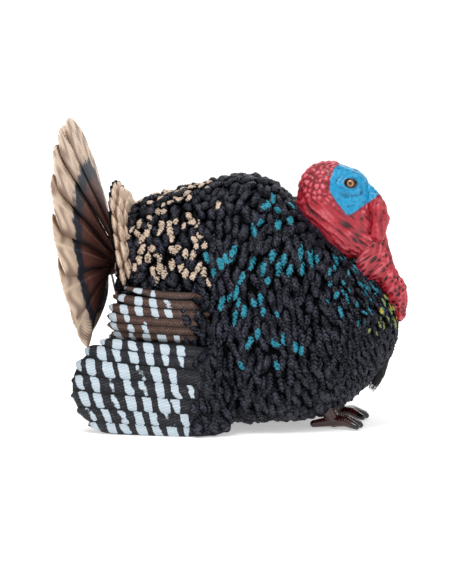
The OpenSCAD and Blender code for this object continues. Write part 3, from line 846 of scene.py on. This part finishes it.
wing_paint, tree = material("acrylic_paint_wing_feathers")
relief_mark = add(tree, "ShaderNodeAttribute", attribute_name="relief")
quill_mark = add(tree, "ShaderNodeAttribute", attribute_name="quill")
dab_mark = add(tree, "ShaderNodeAttribute", attribute_name="dabs")
dab_parts = add(tree, "ShaderNodeSeparateXYZ", {0: dab_mark.outputs["Vector"]})
quill_parts = add(tree, "ShaderNodeSeparateXYZ", {0: quill_mark.outputs["Vector"]})
place = add(tree, "ShaderNodeTexCoord")
grain = speckle(tree, place, 210.0, 4.0)
ragged = speckle(tree, place, 95.0, 2.0)
across = add(tree, "ShaderNodeMath", {0: quill_parts.outputs[1]}, operation="ABSOLUTE")
slant = scaled(tree, across.outputs[0], -1.0, quill_parts.outputs[0])
streak_way = add(tree, "ShaderNodeMath", {0: slant.outputs[0], 1: 2 * math.pi / 2.4}, operation="MULTIPLY")
streaks = add(tree, "ShaderNodeMath", {0: streak_way.outputs[0]}, operation="SINE")
# Painted shade: darker in the grooves and along each feather's edges, as on the fan.
edge_and_groove_shade = ramp(tree, relief_mark.outputs["Fac"], 0.1, 0.6)
brush = scaled(tree, grain.outputs["Fac"], 0.9, relief_mark.outputs["Fac"])
brushed = ramp(tree, brush.outputs[0], 0.95, 1.5, 0.0, 0.85)
black = mix(tree, edge_and_groove_shade.outputs[0], "#030406", "#191b23")
ridges = mix(tree, dab_parts.outputs[1], "#555458", "#8a6f64")
brown = mix(tree, edge_and_groove_shade.outputs[0], "#0b0808", "#4a352d")
ground_tone = mix(tree, dab_parts.outputs[1], black.outputs[2], brown.outputs[2])
coat = mix(tree, brushed.outputs[0], ground_tone.outputs[2], ridges.outputs[2])
bar_wave = scaled(tree, ragged.outputs["Fac"], 0.62, dab_parts.outputs[0])
bar_edge = scaled(tree, streaks.outputs[0], 0.03, bar_wave.outputs[0])
bars = ramp(tree, bar_edge.outputs[0], 0.76, 0.82)
# The pale bars are darker where the relief is low, also painted shade.
bar_tone = mix(tree, relief_mark.outputs["Fac"], "#8fa3b2", "#dfe9f0")
barred = mix(tree, bars.outputs[0], coat.outputs[2], bar_tone.outputs[2])
height = scaled(tree, streaks.outputs[0], 0.6, grain.outputs["Fac"])
bump = dents(tree, height.outputs[0], 0.6, 0.0006)
surface(
    tree,
    {
        "Base Color": barred.outputs[2],
        "Roughness": 0.48,
        "Specular IOR Level": 0.25,
        "Normal": bump.outputs[0],
    },
)


def wing_feathers(name, node, side, plan, bar_pitch, bar_half, brown_share, bar_zone):
    """Feathers lying along a wing. Each row of plan: rear x, rear z, front x, front z, half width, lift."""
    depsgraph = bpy.context.evaluated_depsgraph_get()
    tree = BVHTree.FromObject(frame["nodes"][node], depsgraph)
    rows, columns = 72, 13
    u = np.linspace(0, 1, rows)
    v = np.linspace(-1, 1, columns)
    centre, across, normal, half, tops, depths, relief, quill, dabs = ([] for _ in range(9))
    for n, (rear_x, rear_z, front_x, front_z, width, lift) in enumerate(plan):
        x = front_x + (rear_x - front_x) * u
        z = front_z + (rear_z - front_z) * u**1.2
        line, out = [], []
        for xi, zi in zip(x, z):
            zc = max(zi, 3.0)
            ray = tree.ray_cast(Vector((xi * MM, side * 0.30, zc * MM)), Vector((0, -side, 0)), 0.25)
            if ray[0] is None or ray[1].y * side < 0.05:
                line.append(None)
                out.append(None)
            else:
                line.append(np.array(ray[0]) / MM)
                out.append(np.array(ray[1]))
        good = [i for i, p in enumerate(line) if p is not None]
        if len(good) < 8:
            continue
        for i in range(rows):
            if line[i] is None:
                near = min(good, key=lambda g: abs(g - i))
                line[i] = (
                    line[near]
                    + np.array([x[i] - x[near], 0, z[i] - z[near]])
                    - np.array([0, side, 0]) * abs(x[i] - x[near]) * 0.6
                )
                out[i] = out[near]
        line = np.array(line)
        out = np.array(out)
        for _ in range(6):
            out[1:-1] = (out[:-2] + out[1:-1] * 2 + out[2:]) / 4
            line[1:-1] = (line[:-2] + line[1:-1] * 2 + line[2:]) / 4
        out = unit(out)
        along = unit(np.gradient(line, axis=0))
        aside = unit(np.cross(along, out)) * side
        blunt = np.clip(1 - ((u - 0.88) / 0.122).clip(0, 1) ** 2.6, 0.02, 1) ** 0.5
        width_here = width * np.minimum(np.clip(u * 9 + 0.35, 0, 1), blunt)
        run = -line[:, 0]
        phase = rng.uniform(0, 6)
        barb = np.sin(2 * math.pi * (run[:, None] - 1.0 * np.abs(v) * width) / 5.0 + phase)
        quill_ridge = np.exp(-((v * width / 1.6) ** 2))
        body = 1.9 * (1 - np.abs(v) ** 3.2)
        top = lift + body[None, :] + 0.45 * barb * (1 - v**6) + 0.7 * quill_ridge[None, :]
        fade = np.clip(u * 6, 0.15, 1)
        centre.append(line)
        across.append(aside)
        normal.append(out)
        half.append(width_here)
        tops.append(top * fade[:, None])
        depths.append(np.full(rows, lift + 3.2))
        lean = run[:, None] - 0.30 * (line[:, 2:3] + aside[:, 2:3] * v[None, :] * width)
        wave = np.abs(((lean / bar_pitch + 0.5 + 0.09 * math.sin(n * 2.1)) % 1.0) - 0.5) * bar_pitch
        strength = rng.uniform(-0.06, 0.12) + 0.62 * np.array(
            [noise.noise(Vector((p[0] * 0.06 + n * 7, side * 3, p[2] * 0.03))) for p in line]
        )[:, None]
        bar = np.clip(
            0.80 - (wave / bar_half) ** 2 * 0.45 + strength - 0.75 * np.abs(v[None, :]) ** 8, 0, 1,
        )
        low_x, high_x = bar_zone[0], bar_zone[1] + rng.uniform(-26, 12)
        bar = (
            bar
            * (smooth(high_x + 8, high_x - 14, line[:, 0])
            * smooth(low_x - 4, low_x + 6, line[:, 0]))[:, None]
        )
        zero = np.zeros((rows, 3))
        relief.append(
            np.concatenate(
                [np.clip(0.5 + 0.26 * barb + 0.15 * quill_ridge - 0.6 * np.abs(v) ** 5, 0, 1), zero], axis=1,
            )
        )
        a = np.concatenate([v * width, np.zeros(3)])[None, :] + 0 * u[:, None]
        quill.append(np.stack([run[:, None] + 0 * a, a, 0 * a + n], axis=-1))
        d = np.concatenate([bar, zero], axis=1)
        dabs.append(np.stack([d, 0 * d + brown_share, 0 * d], axis=-1))
    points, faces = feather_bank(
        np.array(centre), np.array(across), np.array(normal), np.array(half), np.array(tops), np.array(depths)
    )
    points = points.reshape(-1, 3)
    points[:, 2] = np.maximum(points[:, 2], 0.3)
    marks = {
        "relief": np.array(relief).ravel(),
        "quill": np.array(quill).reshape(-1, 3),
        "dabs": np.array(dabs).reshape(-1, 3),
    }
    piece = mesh_piece(name, points * MM, faces, wing_paint, marks)
    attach(piece, "root")


primaries_plan = [
    (-198, 14, 26, 8, 13, 0.5),
    (-216, 36, 32, 28, 15, 1.5),
    (-224, 62, 34, 50, 15, 2.5),
    (-222, 88, 34, 74, 15, 3.5),
    (-214, 114, 30, 98, 15, 4.5),
    (-200, 136, 20, 122, 13, 5.5),
    (-176, 149, 8, 137, 10, 6.5),
]
secondaries_plan = [
    (-146, 140, -4, 138, 8.5, 0.5),
    (-152, 150, -2, 146, 8.5, 1.0),
    (-162, 164, -1, 160, 8.5, 2.0),
    (-167, 178, 0, 173, 8.5, 3.0),
    (-166, 192, 0, 186, 8.5, 4.0),
    (-163, 206, 0, 199, 8.5, 5.0),
    (-158, 220, -2, 212, 8.5, 6.0),
    (-148, 231, -6, 224, 7.5, 7.0),
]
for side, word in ((1, "left"), (-1, "right")):
    wing_feathers(
        f"primaries_{word}_feathers",
        f"wing_primaries_{word}",
        side,
        primaries_plan,
        26.0,
        7.8,
        0.0,
        (-226, -20),
    )
    wing_feathers(
        f"secondaries_{word}_feathers",
        f"wing_secondaries_{word}",
        side,
        secondaries_plan,
        25.0,
        6.8,
        1.0,
        (-166, -50),
    )
    for node in (f"wing_primaries_{word}", f"wing_secondaries_{word}"):
        repaint(node, wing_paint)

# ---------------------------------------------------------------------------
# Head, snood and wattle.
# The head is a hollow moulding that lifts off. Its nape is covered in small
# fleshy lumps, its neck in stringy folds, and its face is painted blue. The snood
# hangs over the right side of the beak and the wattle down over the chest.

flesh_paint, tree = material("satin_paint_bare_skin")
relief_mark = add(tree, "ShaderNodeAttribute", attribute_name="relief")
dab_mark = add(tree, "ShaderNodeAttribute", attribute_name="dabs")
dab_parts = add(tree, "ShaderNodeSeparateXYZ", {0: dab_mark.outputs["Vector"]})
place = add(tree, "ShaderNodeTexCoord")
grain = speckle(tree, place, 240.0, 4.0)
patches = speckle(tree, place, 60.0, 3.0)
# Painted shade: the red and the blue go dark where the relief is low, between the lumps, folds and wrinkles.
flesh_groove_shade = ramp(tree, relief_mark.outputs["Fac"], 0.12, 0.46)
brush = scaled(tree, grain.outputs["Fac"], 0.5, relief_mark.outputs["Fac"])
brushed = ramp(tree, brush.outputs[0], 0.85, 1.3, 0.0, 0.8)
red_base = mix(tree, patches.outputs["Fac"], "#8f1626", "#bd2a3a")
red_low = mix(tree, flesh_groove_shade.outputs[0], "#33080f", red_base.outputs[2])
red = mix(tree, brushed.outputs[0], red_low.outputs[2], "#e0707c")
blue_base = mix(tree, patches.outputs["Fac"], "#0870a4", "#12a0cc")
blue_low = mix(tree, flesh_groove_shade.outputs[0], "#07446e", blue_base.outputs[2])
blue = mix(tree, brushed.outputs[0], blue_low.outputs[2], "#48afd8")
wobble = scaled(tree, patches.outputs["Fac"], 0.3, dab_parts.outputs[0])
blue_edge = ramp(tree, wobble.outputs[0], 0.58, 0.68)
rim = ramp(tree, wobble.outputs[0], 0.40, 0.60, 0.0, 0.55)
shaded = mix(tree, rim.outputs[0], red.outputs[2], "#3b1730")
faced = mix(tree, blue_edge.outputs[0], shaded.outputs[2], blue.outputs[2])
lined = mix(tree, dab_parts.outputs[1], faced.outputs[2], "#0c0a0b")
bump = dents(tree, grain.outputs["Fac"], 0.35, 0.0006)
surface(
    tree,
    {
        "Base Color": lined.outputs[2],
        "Roughness": 0.34,
        "Specular IOR Level": 0.5,
        "Normal": bump.outputs[0],
    },
)


def remeshed(verts, faces, voxel, rounds):
    """An even, softened mesh of a closed shape: points in mm, their normals, and faces."""
    mesh = bpy.data.meshes.new("rough")
    mesh.from_pydata(np.asarray(verts).tolist(), [], faces)
    rough = bpy.data.objects.new("rough", mesh)
    bpy.context.collection.objects.link(rough)
    cut = rough.modifiers.new("cut", "REMESH")
    cut.mode = "VOXEL"
    cut.voxel_size = voxel
    soft = rough.modifiers.new("soft", "SMOOTH")
    soft.iterations = rounds
    soft.factor = 0.5
    bpy.context.view_layer.update()
    made = rough.evaluated_get(bpy.context.evaluated_depsgraph_get()).to_mesh()
    points = np.empty(3 * len(made.vertices))
    made.vertices.foreach_get("co", points)
    normals = np.empty(3 * len(made.vertices))
    made.vertices.foreach_get("normal", normals)
    kept_faces = [tuple(p.vertices) for p in made.polygons]
    bpy.data.objects.remove(rough)
    bpy.data.meshes.remove(mesh)
    return points.reshape(-1, 3), normals.reshape(-1, 3), kept_faces


def node_mesh(*nodes):
    """The faces of CAD nodes as one mesh in mm."""
    verts, faces = [], []
    for node in nodes:
        part = node_verts(node)
        start = sum(len(v) for v in verts)
        faces += [tuple(start + i for i in p.vertices) for p in frame["nodes"][node].data.polygons]
        verts.append(part)
    return np.concatenate(verts), faces


def cells(points, size, seed=0.0):
    """1 in the middle of rounded cells about size mm across, 0 between them."""
    found = [noise.voronoi(Vector(p) / size + Vector((seed, 0, 0)))[0] for p in points]
    near = np.array([f[0] for f in found])
    gap = np.array([f[1] - f[0] for f in found])
    return np.clip(gap * 2.6, 0, 1) * np.clip(1.15 - near, 0, 1)


def cloud(points, size, seed=0.0):
    """Smooth noise from -1 to 1 with features about size mm across."""
    return np.array([noise.noise(Vector(p) / size + Vector((seed, seed, 0))) for p in points])


def face_share(x, z):
    """The blue kite round the eye: about half at its edge and 1 well inside it."""
    left = x - 184 - 0.16 * (z - 395)
    crown = 0.84 * (426 - z) + 0.54 * (x - 189) + 2
    cheek = 0.80 * (x - 184) + 0.60 * (z - 395)
    chin = -0.59 * (x - 216) + 0.81 * (z - 352)
    corner = 4.0
    inside = -corner * np.log(
        sum(np.exp(-np.clip(d, -60, 60) / corner) for d in (left, crown, cheek, chin))
    )
    return np.clip(0.52 + 0.045 * inside, 0, 1)


head_skin = convex_skin(node_verts("head_shell"))
head_rough = np.array([v.co for v in head_skin.verts])
head_skin.verts.index_update()
head_rough_faces = [tuple(v.index for v in f.verts) for f in head_skin.faces]
head_skin.free()
points, normals, faces = remeshed(head_rough, head_rough_faces, 1.7, 3)
x, y, z = points.T
eyes = [np.array(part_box(node)) / MM for node in ("eye_left", "eye_right")]
eye_at = eyes[0].mean(axis=0)
to_eye = np.sqrt((x - eye_at[0]) ** 2 + ((z - eye_at[2]) * 1.25) ** 2)
facing = smooth(4, 14, np.abs(y))
face_zone = face_share(x, z)
face = smooth(0.42, 0.62, face_zone)
jumbled = points + 2.6 * cloud(points, 7, 11.0)[:, None] * np.array([1.0, 0.4, -0.8])
knobs = cells(jumbled, 9.5)
small = cells(points, 5.0, 3.0)
lift_axis = unit(np.array(joints["head_lift"]["axis"], dtype=float))
down_neck = np.array([0.76, 0, -0.65])
stretched = points - np.outer(points @ down_neck, down_neck) * 0.88
strings = 1.2 * cloud(stretched, 4.6, 5.0) + 0.6 * cloud(stretched, 2.8, 9.0)
neck = smooth(382, 352, z - 0.25 * (200 - x))
red_lift = (1 - neck) * (2.6 * knobs + 0.5 * small) + neck * (2.4 * strings + 0.9 * small)
creases = np.sin(to_eye / 2.1 + 5.5 * cloud(points, 15, 2.0))
wrinkle = 0.3 * creases + 1.0 * cloud(points, 6.5, 1.0) + 0.6 * cloud(points, 3.4, 7.0)
lid = np.exp(-(((to_eye - 10.5) / 2.2) ** 2)) * facing
lift = (1 - face) * red_lift + face * (wrinkle + 0.5) + 1.5 * lid
socket = smooth(9.0, 7.5, to_eye) * facing
lift = lift * (1 - socket) - 1.2 * socket
seat_height = points @ lift_axis
near_seat = smooth(seat_height.min() + 2.0, seat_height.min() + 9.0, seat_height)
lift = lift * near_seat
points = points + normals * lift[:, None]
relief = np.clip(
    (1 - face) * ((1 - neck) * (0.12 + 1.0 * knobs + 0.15 * small) + neck * (0.5 + 0.55 * strings))
    + face * (0.5 + 0.33 * wrinkle),
    0,
    1,
)
almond = np.sqrt(((x - eye_at[0]) / 11.5) ** 2 + ((z - eye_at[2] + 0.12 * (x - eye_at[0])) / 7.8) ** 2)
outline = smooth(1.08, 0.92, almond) * facing
marks = {"relief": relief, "dabs": np.stack([face_zone, outline, 0 * x], axis=-1)}
head = mesh_piece("head_skin", points * MM, faces, flesh_paint, marks)
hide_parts("head_shell")
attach(head, "head")

for name, node, voxel in (("snood_skin", "snood", 1.3), ("wattle_skin", "wattle", 1.4)):
    verts, rough_faces = node_mesh(node)
    points, normals, faces = remeshed(verts, rough_faces, voxel, 6)
    stretched = points.copy()
    stretched[:, 2] *= 0.28
    strings = cloud(stretched, 4.6, 4.0) + 0.4 * cloud(points, 4.0, 8.0)
    knobs = cells(points, 7.5, 6.0)
    if name == "snood_skin":
        lift = 2.4 * strings + 2.2 * smooth(392, 372, points[:, 2])
        relief = 0.52 + 0.5 * strings
    else:
        pits = smooth(0.35, 0.75, cells(points * np.array([1, 1, 0.8]), 5.6, 6.0))
        lift = 2.4 + 2.2 * strings - 1.5 * pits
        relief = 0.62 + 0.55 * strings - 0.55 * pits
        # The wattle lies against the chest, so it is fuller on that side.
        toward_chest = np.array([-0.74, 0, -0.67])
        full = smooth(340, 318, points[:, 2]) * smooth(186, 215, points[:, 2])
        inward = smooth(-0.3, 0.6, normals @ toward_chest) * full
        gullet = smooth(248, 270, points[:, 2]) * smooth(328, 304, points[:, 2])
        points = points + toward_chest * ((8.0 + 24.0 * gullet) * inward)[:, None]
    points = points + normals * lift[:, None]
    zero = 0 * relief
    blue_part = face_share(points[:, 0], points[:, 2]) if name == "snood_skin" else zero
    marks = {"relief": np.clip(relief, 0, 1), "dabs": np.stack([blue_part, zero, zero], axis=-1)}
    piece = mesh_piece(name, points * MM, faces, flesh_paint, marks)
    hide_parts(node)
    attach(piece, "head")

# ---------------------------------------------------------------------------
# Beak and eyes.
# The beak is part of the head's moulding, painted as horn. The eyes are polished
# acrylic beads with a black pupil and an orange-brown iris.

horn_paint, tree = material("satin_paint_horn")
relief_mark = add(tree, "ShaderNodeAttribute", attribute_name="relief")
place = add(tree, "ShaderNodeTexCoord")
grain = speckle(tree, place, 180.0, 4.0)
mixed = scaled(tree, grain.outputs["Fac"], 0.4, relief_mark.outputs["Fac"])
tone = ramp(tree, mixed.outputs[0], 0.35, 1.1)
horn = mix(tree, tone.outputs[0], "#3b2a22", "#c0a57c")
bump = dents(tree, grain.outputs["Fac"], 0.3, 0.0005)
surface(tree, {"Base Color": horn.outputs[2], "Roughness": 0.32, "Normal": bump.outputs[0]})

verts, rough_faces = node_mesh("beak")
points, normals, faces = remeshed(verts, rough_faces, 1.1, 4)
rings = np.sin(points[:, 0] / 2.4 + cloud(points, 9, 3.0)) * smooth(255, 240, points[:, 0])
points = points + normals * (0.22 * rings)[:, None]
relief = np.clip(0.35 + 0.5 * smooth(235, 268, points[:, 0]) + 0.12 * rings, 0, 1)
beak = mesh_piece("beak_horn", points * MM, faces, horn_paint, {"relief": relief})
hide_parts("beak")
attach(beak, "head")

for node, box in zip(("eye_left", "eye_right"), eyes):
    eye_paint, tree = material("polished_acrylic_" + node)
    middle = box.mean(axis=0) * MM
    place = add(tree, "ShaderNodeTexCoord")
    offset = add(
        tree, "ShaderNodeVectorMath", {0: place.outputs["Object"], 1: tuple(middle)}, operation="SUBTRACT",
    )
    flat = add(
        tree, "ShaderNodeVectorMath", {0: offset.outputs[0], 1: (1000.0, 0.0, 1000.0)}, operation="MULTIPLY",
    )
    radius = add(tree, "ShaderNodeVectorMath", {0: flat.outputs[0]}, operation="LENGTH")
    flecks = speckle(tree, place, 900.0, 3.0)
    pupil = ramp(tree, radius.outputs["Value"], 2.5, 3.0)
    white = ramp(tree, radius.outputs["Value"], 5.6, 6.2)
    iris = mix(tree, flecks.outputs["Fac"], "#6e3413", "#d08a4c")
    middle_tone = mix(tree, pupil.outputs[0], "#050404", iris.outputs[2])
    whole = mix(tree, white.outputs[0], middle_tone.outputs[2], "#0d0909")
    surface(
        tree,
        {
            "Base Color": whole.outputs[2],
            "Roughness": 0.06,
            "IOR": 1.49,
            "Coat Weight": 0.6,
            "Coat Roughness": 0.03,
        },
    )
    repaint(node, eye_paint)

# ---------------------------------------------------------------------------
# Feet and beard.
# The feet are solid mouldings with ringed scales and black claws, painted a
# glossy dark red. The beard is a tuft of coarse strands hung from the chest.

leg_paint, tree = material("gloss_paint_legs")
relief_mark = add(tree, "ShaderNodeAttribute", attribute_name="relief")
dab_mark = add(tree, "ShaderNodeAttribute", attribute_name="dabs")
dab_parts = add(tree, "ShaderNodeSeparateXYZ", {0: dab_mark.outputs["Vector"]})
place = add(tree, "ShaderNodeTexCoord")
grain = speckle(tree, place, 220.0, 3.0)
# Painted shade: the red is darker in the low rings between the scales.
tone = ramp(tree, relief_mark.outputs["Fac"], 0.1, 0.8)
scale_tone = mix(tree, tone.outputs[0], "#150605", "#4c1713")
worn = mix(tree, grain.outputs["Fac"], "#2c0d0b", scale_tone.outputs[2])
clawed = mix(tree, dab_parts.outputs[0], worn.outputs[2], "#0a0808")
bump = dents(tree, grain.outputs["Fac"], 0.25, 0.0005)
surface(
    tree,
    {
        "Base Color": clawed.outputs[2],
        "Roughness": 0.22,
        "Coat Weight": 0.35,
        "Coat Roughness": 0.1,
        "Normal": bump.outputs[0],
    },
)

for side, word in ((1, "left"), (-1, "right")):
    verts, rough_faces = node_mesh("foot_" + word)
    points, normals, faces = remeshed(verts, rough_faces, 1.2, 3)
    pad = np.array([196.0, side * 48.0, 11.0])
    reach = np.linalg.norm((points - pad)[:, :2], axis=1)
    above = smooth(-0.2, 0.5, normals[:, 2])
    scales = np.abs(np.sin(math.pi * np.where(reach > 12, reach, points[:, 2]) / 4.6))
    claw = smooth(35, 38, reach)
    points = points + normals * (0.75 * (scales - 0.4) * (0.3 + 0.7 * above) * (1 - claw))[:, None]
    points[:, 2] = np.maximum(points[:, 2], 0.2)
    marks = {
        "relief": np.clip(scales * (1 - 0.5 * claw), 0, 1),
        "dabs": np.stack([claw, 0 * claw, 0 * claw], axis=-1),
    }
    foot = mesh_piece("scaly_foot_" + word, points * MM, faces, leg_paint, marks)
    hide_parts("foot_" + word)
    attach(foot, "root")

strand_paint, tree = material("matt_paint_beard_strands")
place = add(tree, "ShaderNodeTexCoord")
grain = speckle(tree, place, 150.0, 4.0)
tone = mix(tree, grain.outputs["Fac"], "#060606", "#3a3639")
bump = dents(tree, grain.outputs["Fac"], 0.4, 0.0005)
surface(tree, {"Base Color": tone.outputs[2], "Roughness": 0.6, "Normal": bump.outputs[0]})

beard_path = np.array(
    [[275.0, 0, 112], [268, 0, 90], [258, 0, 70], [246, 0, 52], [234, 0, 36], [225, 0, 24]]
)
beard_r = np.array([8.5, 10.0, 10.0, 9.0, 7.0, 5.0])
strand_points, strand_faces = [], []
rng = np.random.default_rng(5)
for n in range(240):
    angle, way = rng.uniform(0, 2 * math.pi), math.sqrt(rng.random())
    reach = rng.uniform(0.34, 0.55)
    t = np.linspace(0, reach, 9)
    at = np.stack([np.interp(t, np.linspace(0, 1, 6), beard_path[:, i]) for i in range(3)], axis=1)
    wide = np.interp(t, np.linspace(0, 1, 6), beard_r) * way
    path = at + wide[:, None] * (
        math.cos(angle) * np.array([0, 1.0, 0]) + math.sin(angle) * np.array([0.8, 0, -0.45])
    )
    path += rng.normal(0, 0.35, path.shape)
    thick = np.linspace(1.15, 0.35, 9)
    base = sum(len(p) for p in strand_points)
    angles = np.arange(5) * 2 * math.pi / 5
    sidewise = np.stack([0 * angles, np.cos(angles), 0 * angles], axis=1)
    ahead = np.stack([np.sin(angles) * 0.85, 0 * angles, np.sin(angles) * 0.5], axis=1)
    ring = path[:, None, :] + thick[:, None, None] * sidewise[None] + thick[:, None, None] * ahead[None]
    strand_points.append(ring.reshape(-1, 3))
    for i in range(8):
        for j in range(5):
            k = (j + 1) % 5
            strand_faces.append(
                (base + 5 * i + j, base + 5 * i + k, base + 5 * i + 5 + k, base + 5 * i + 5 + j)
            )
    strand_faces.append(tuple(base + j for j in range(4, -1, -1)))
    strand_faces.append(tuple(base + 40 + j for j in range(5)))
strands = mesh_piece("beard_strands", np.concatenate(strand_points) * MM, strand_faces, strand_paint)
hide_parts("beard")
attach(strands, "root")

# ---------------------------------------------------------------------------
# Fittings inside and underneath.
# Plain injection-moulded plastic sockets, pegs and hubs, zinc-plated screws, bolt
# and wing nut, and black rubber rings that grip the pegs.

moulded_plastic, tree = material("moulded_grey_plastic")
place = add(tree, "ShaderNodeTexCoord")
grain = speckle(tree, place, 700.0, 2.0)
scuffs = speckle(tree, place, 40.0, 5.0)
tone = mix(tree, scuffs.outputs["Fac"], "#242428", "#3d3d43")
rough = add(tree, "ShaderNodeMapRange", {"Value": scuffs.outputs["Fac"], "To Min": 0.38, "To Max": 0.62})
bump = dents(tree, grain.outputs["Fac"], 0.15, 0.0002)
surface(tree, {"Base Color": tone.outputs[2], "Roughness": rough.outputs[0], "Normal": bump.outputs[0]})

zinc, tree = material("zinc_plated_steel")
place = add(tree, "ShaderNodeTexCoord")
spangle = add(tree, "ShaderNodeTexVoronoi", {"Vector": place.outputs["Object"], "Scale": 500.0})
tone = mix(tree, spangle.outputs["Distance"], "#b9bcc0", "#8f9398")
rough = add(
    tree, "ShaderNodeMapRange", {"Value": spangle.outputs["Distance"], "To Min": 0.25, "To Max": 0.42},
)
surface(tree, {"Base Color": tone.outputs[2], "Metallic": 1.0, "Roughness": rough.outputs[0]})

rubber, tree = material("black_nitrile_rubber")
place = add(tree, "ShaderNodeTexCoord")
grain = speckle(tree, place, 600.0, 2.0)
tone = mix(tree, grain.outputs["Fac"], "#0b0b0c", "#1d1d1f")
surface(tree, {"Base Color": tone.outputs[2], "Roughness": 0.7})

finishes = {"inner_plastic": moulded_plastic, "screw_steel": zinc, "ring_rubber": rubber}
for part in record["subparts"]:
    finish = finishes.get(part["material_slot"])
    if finish:
        repaint(part["node"], finish)
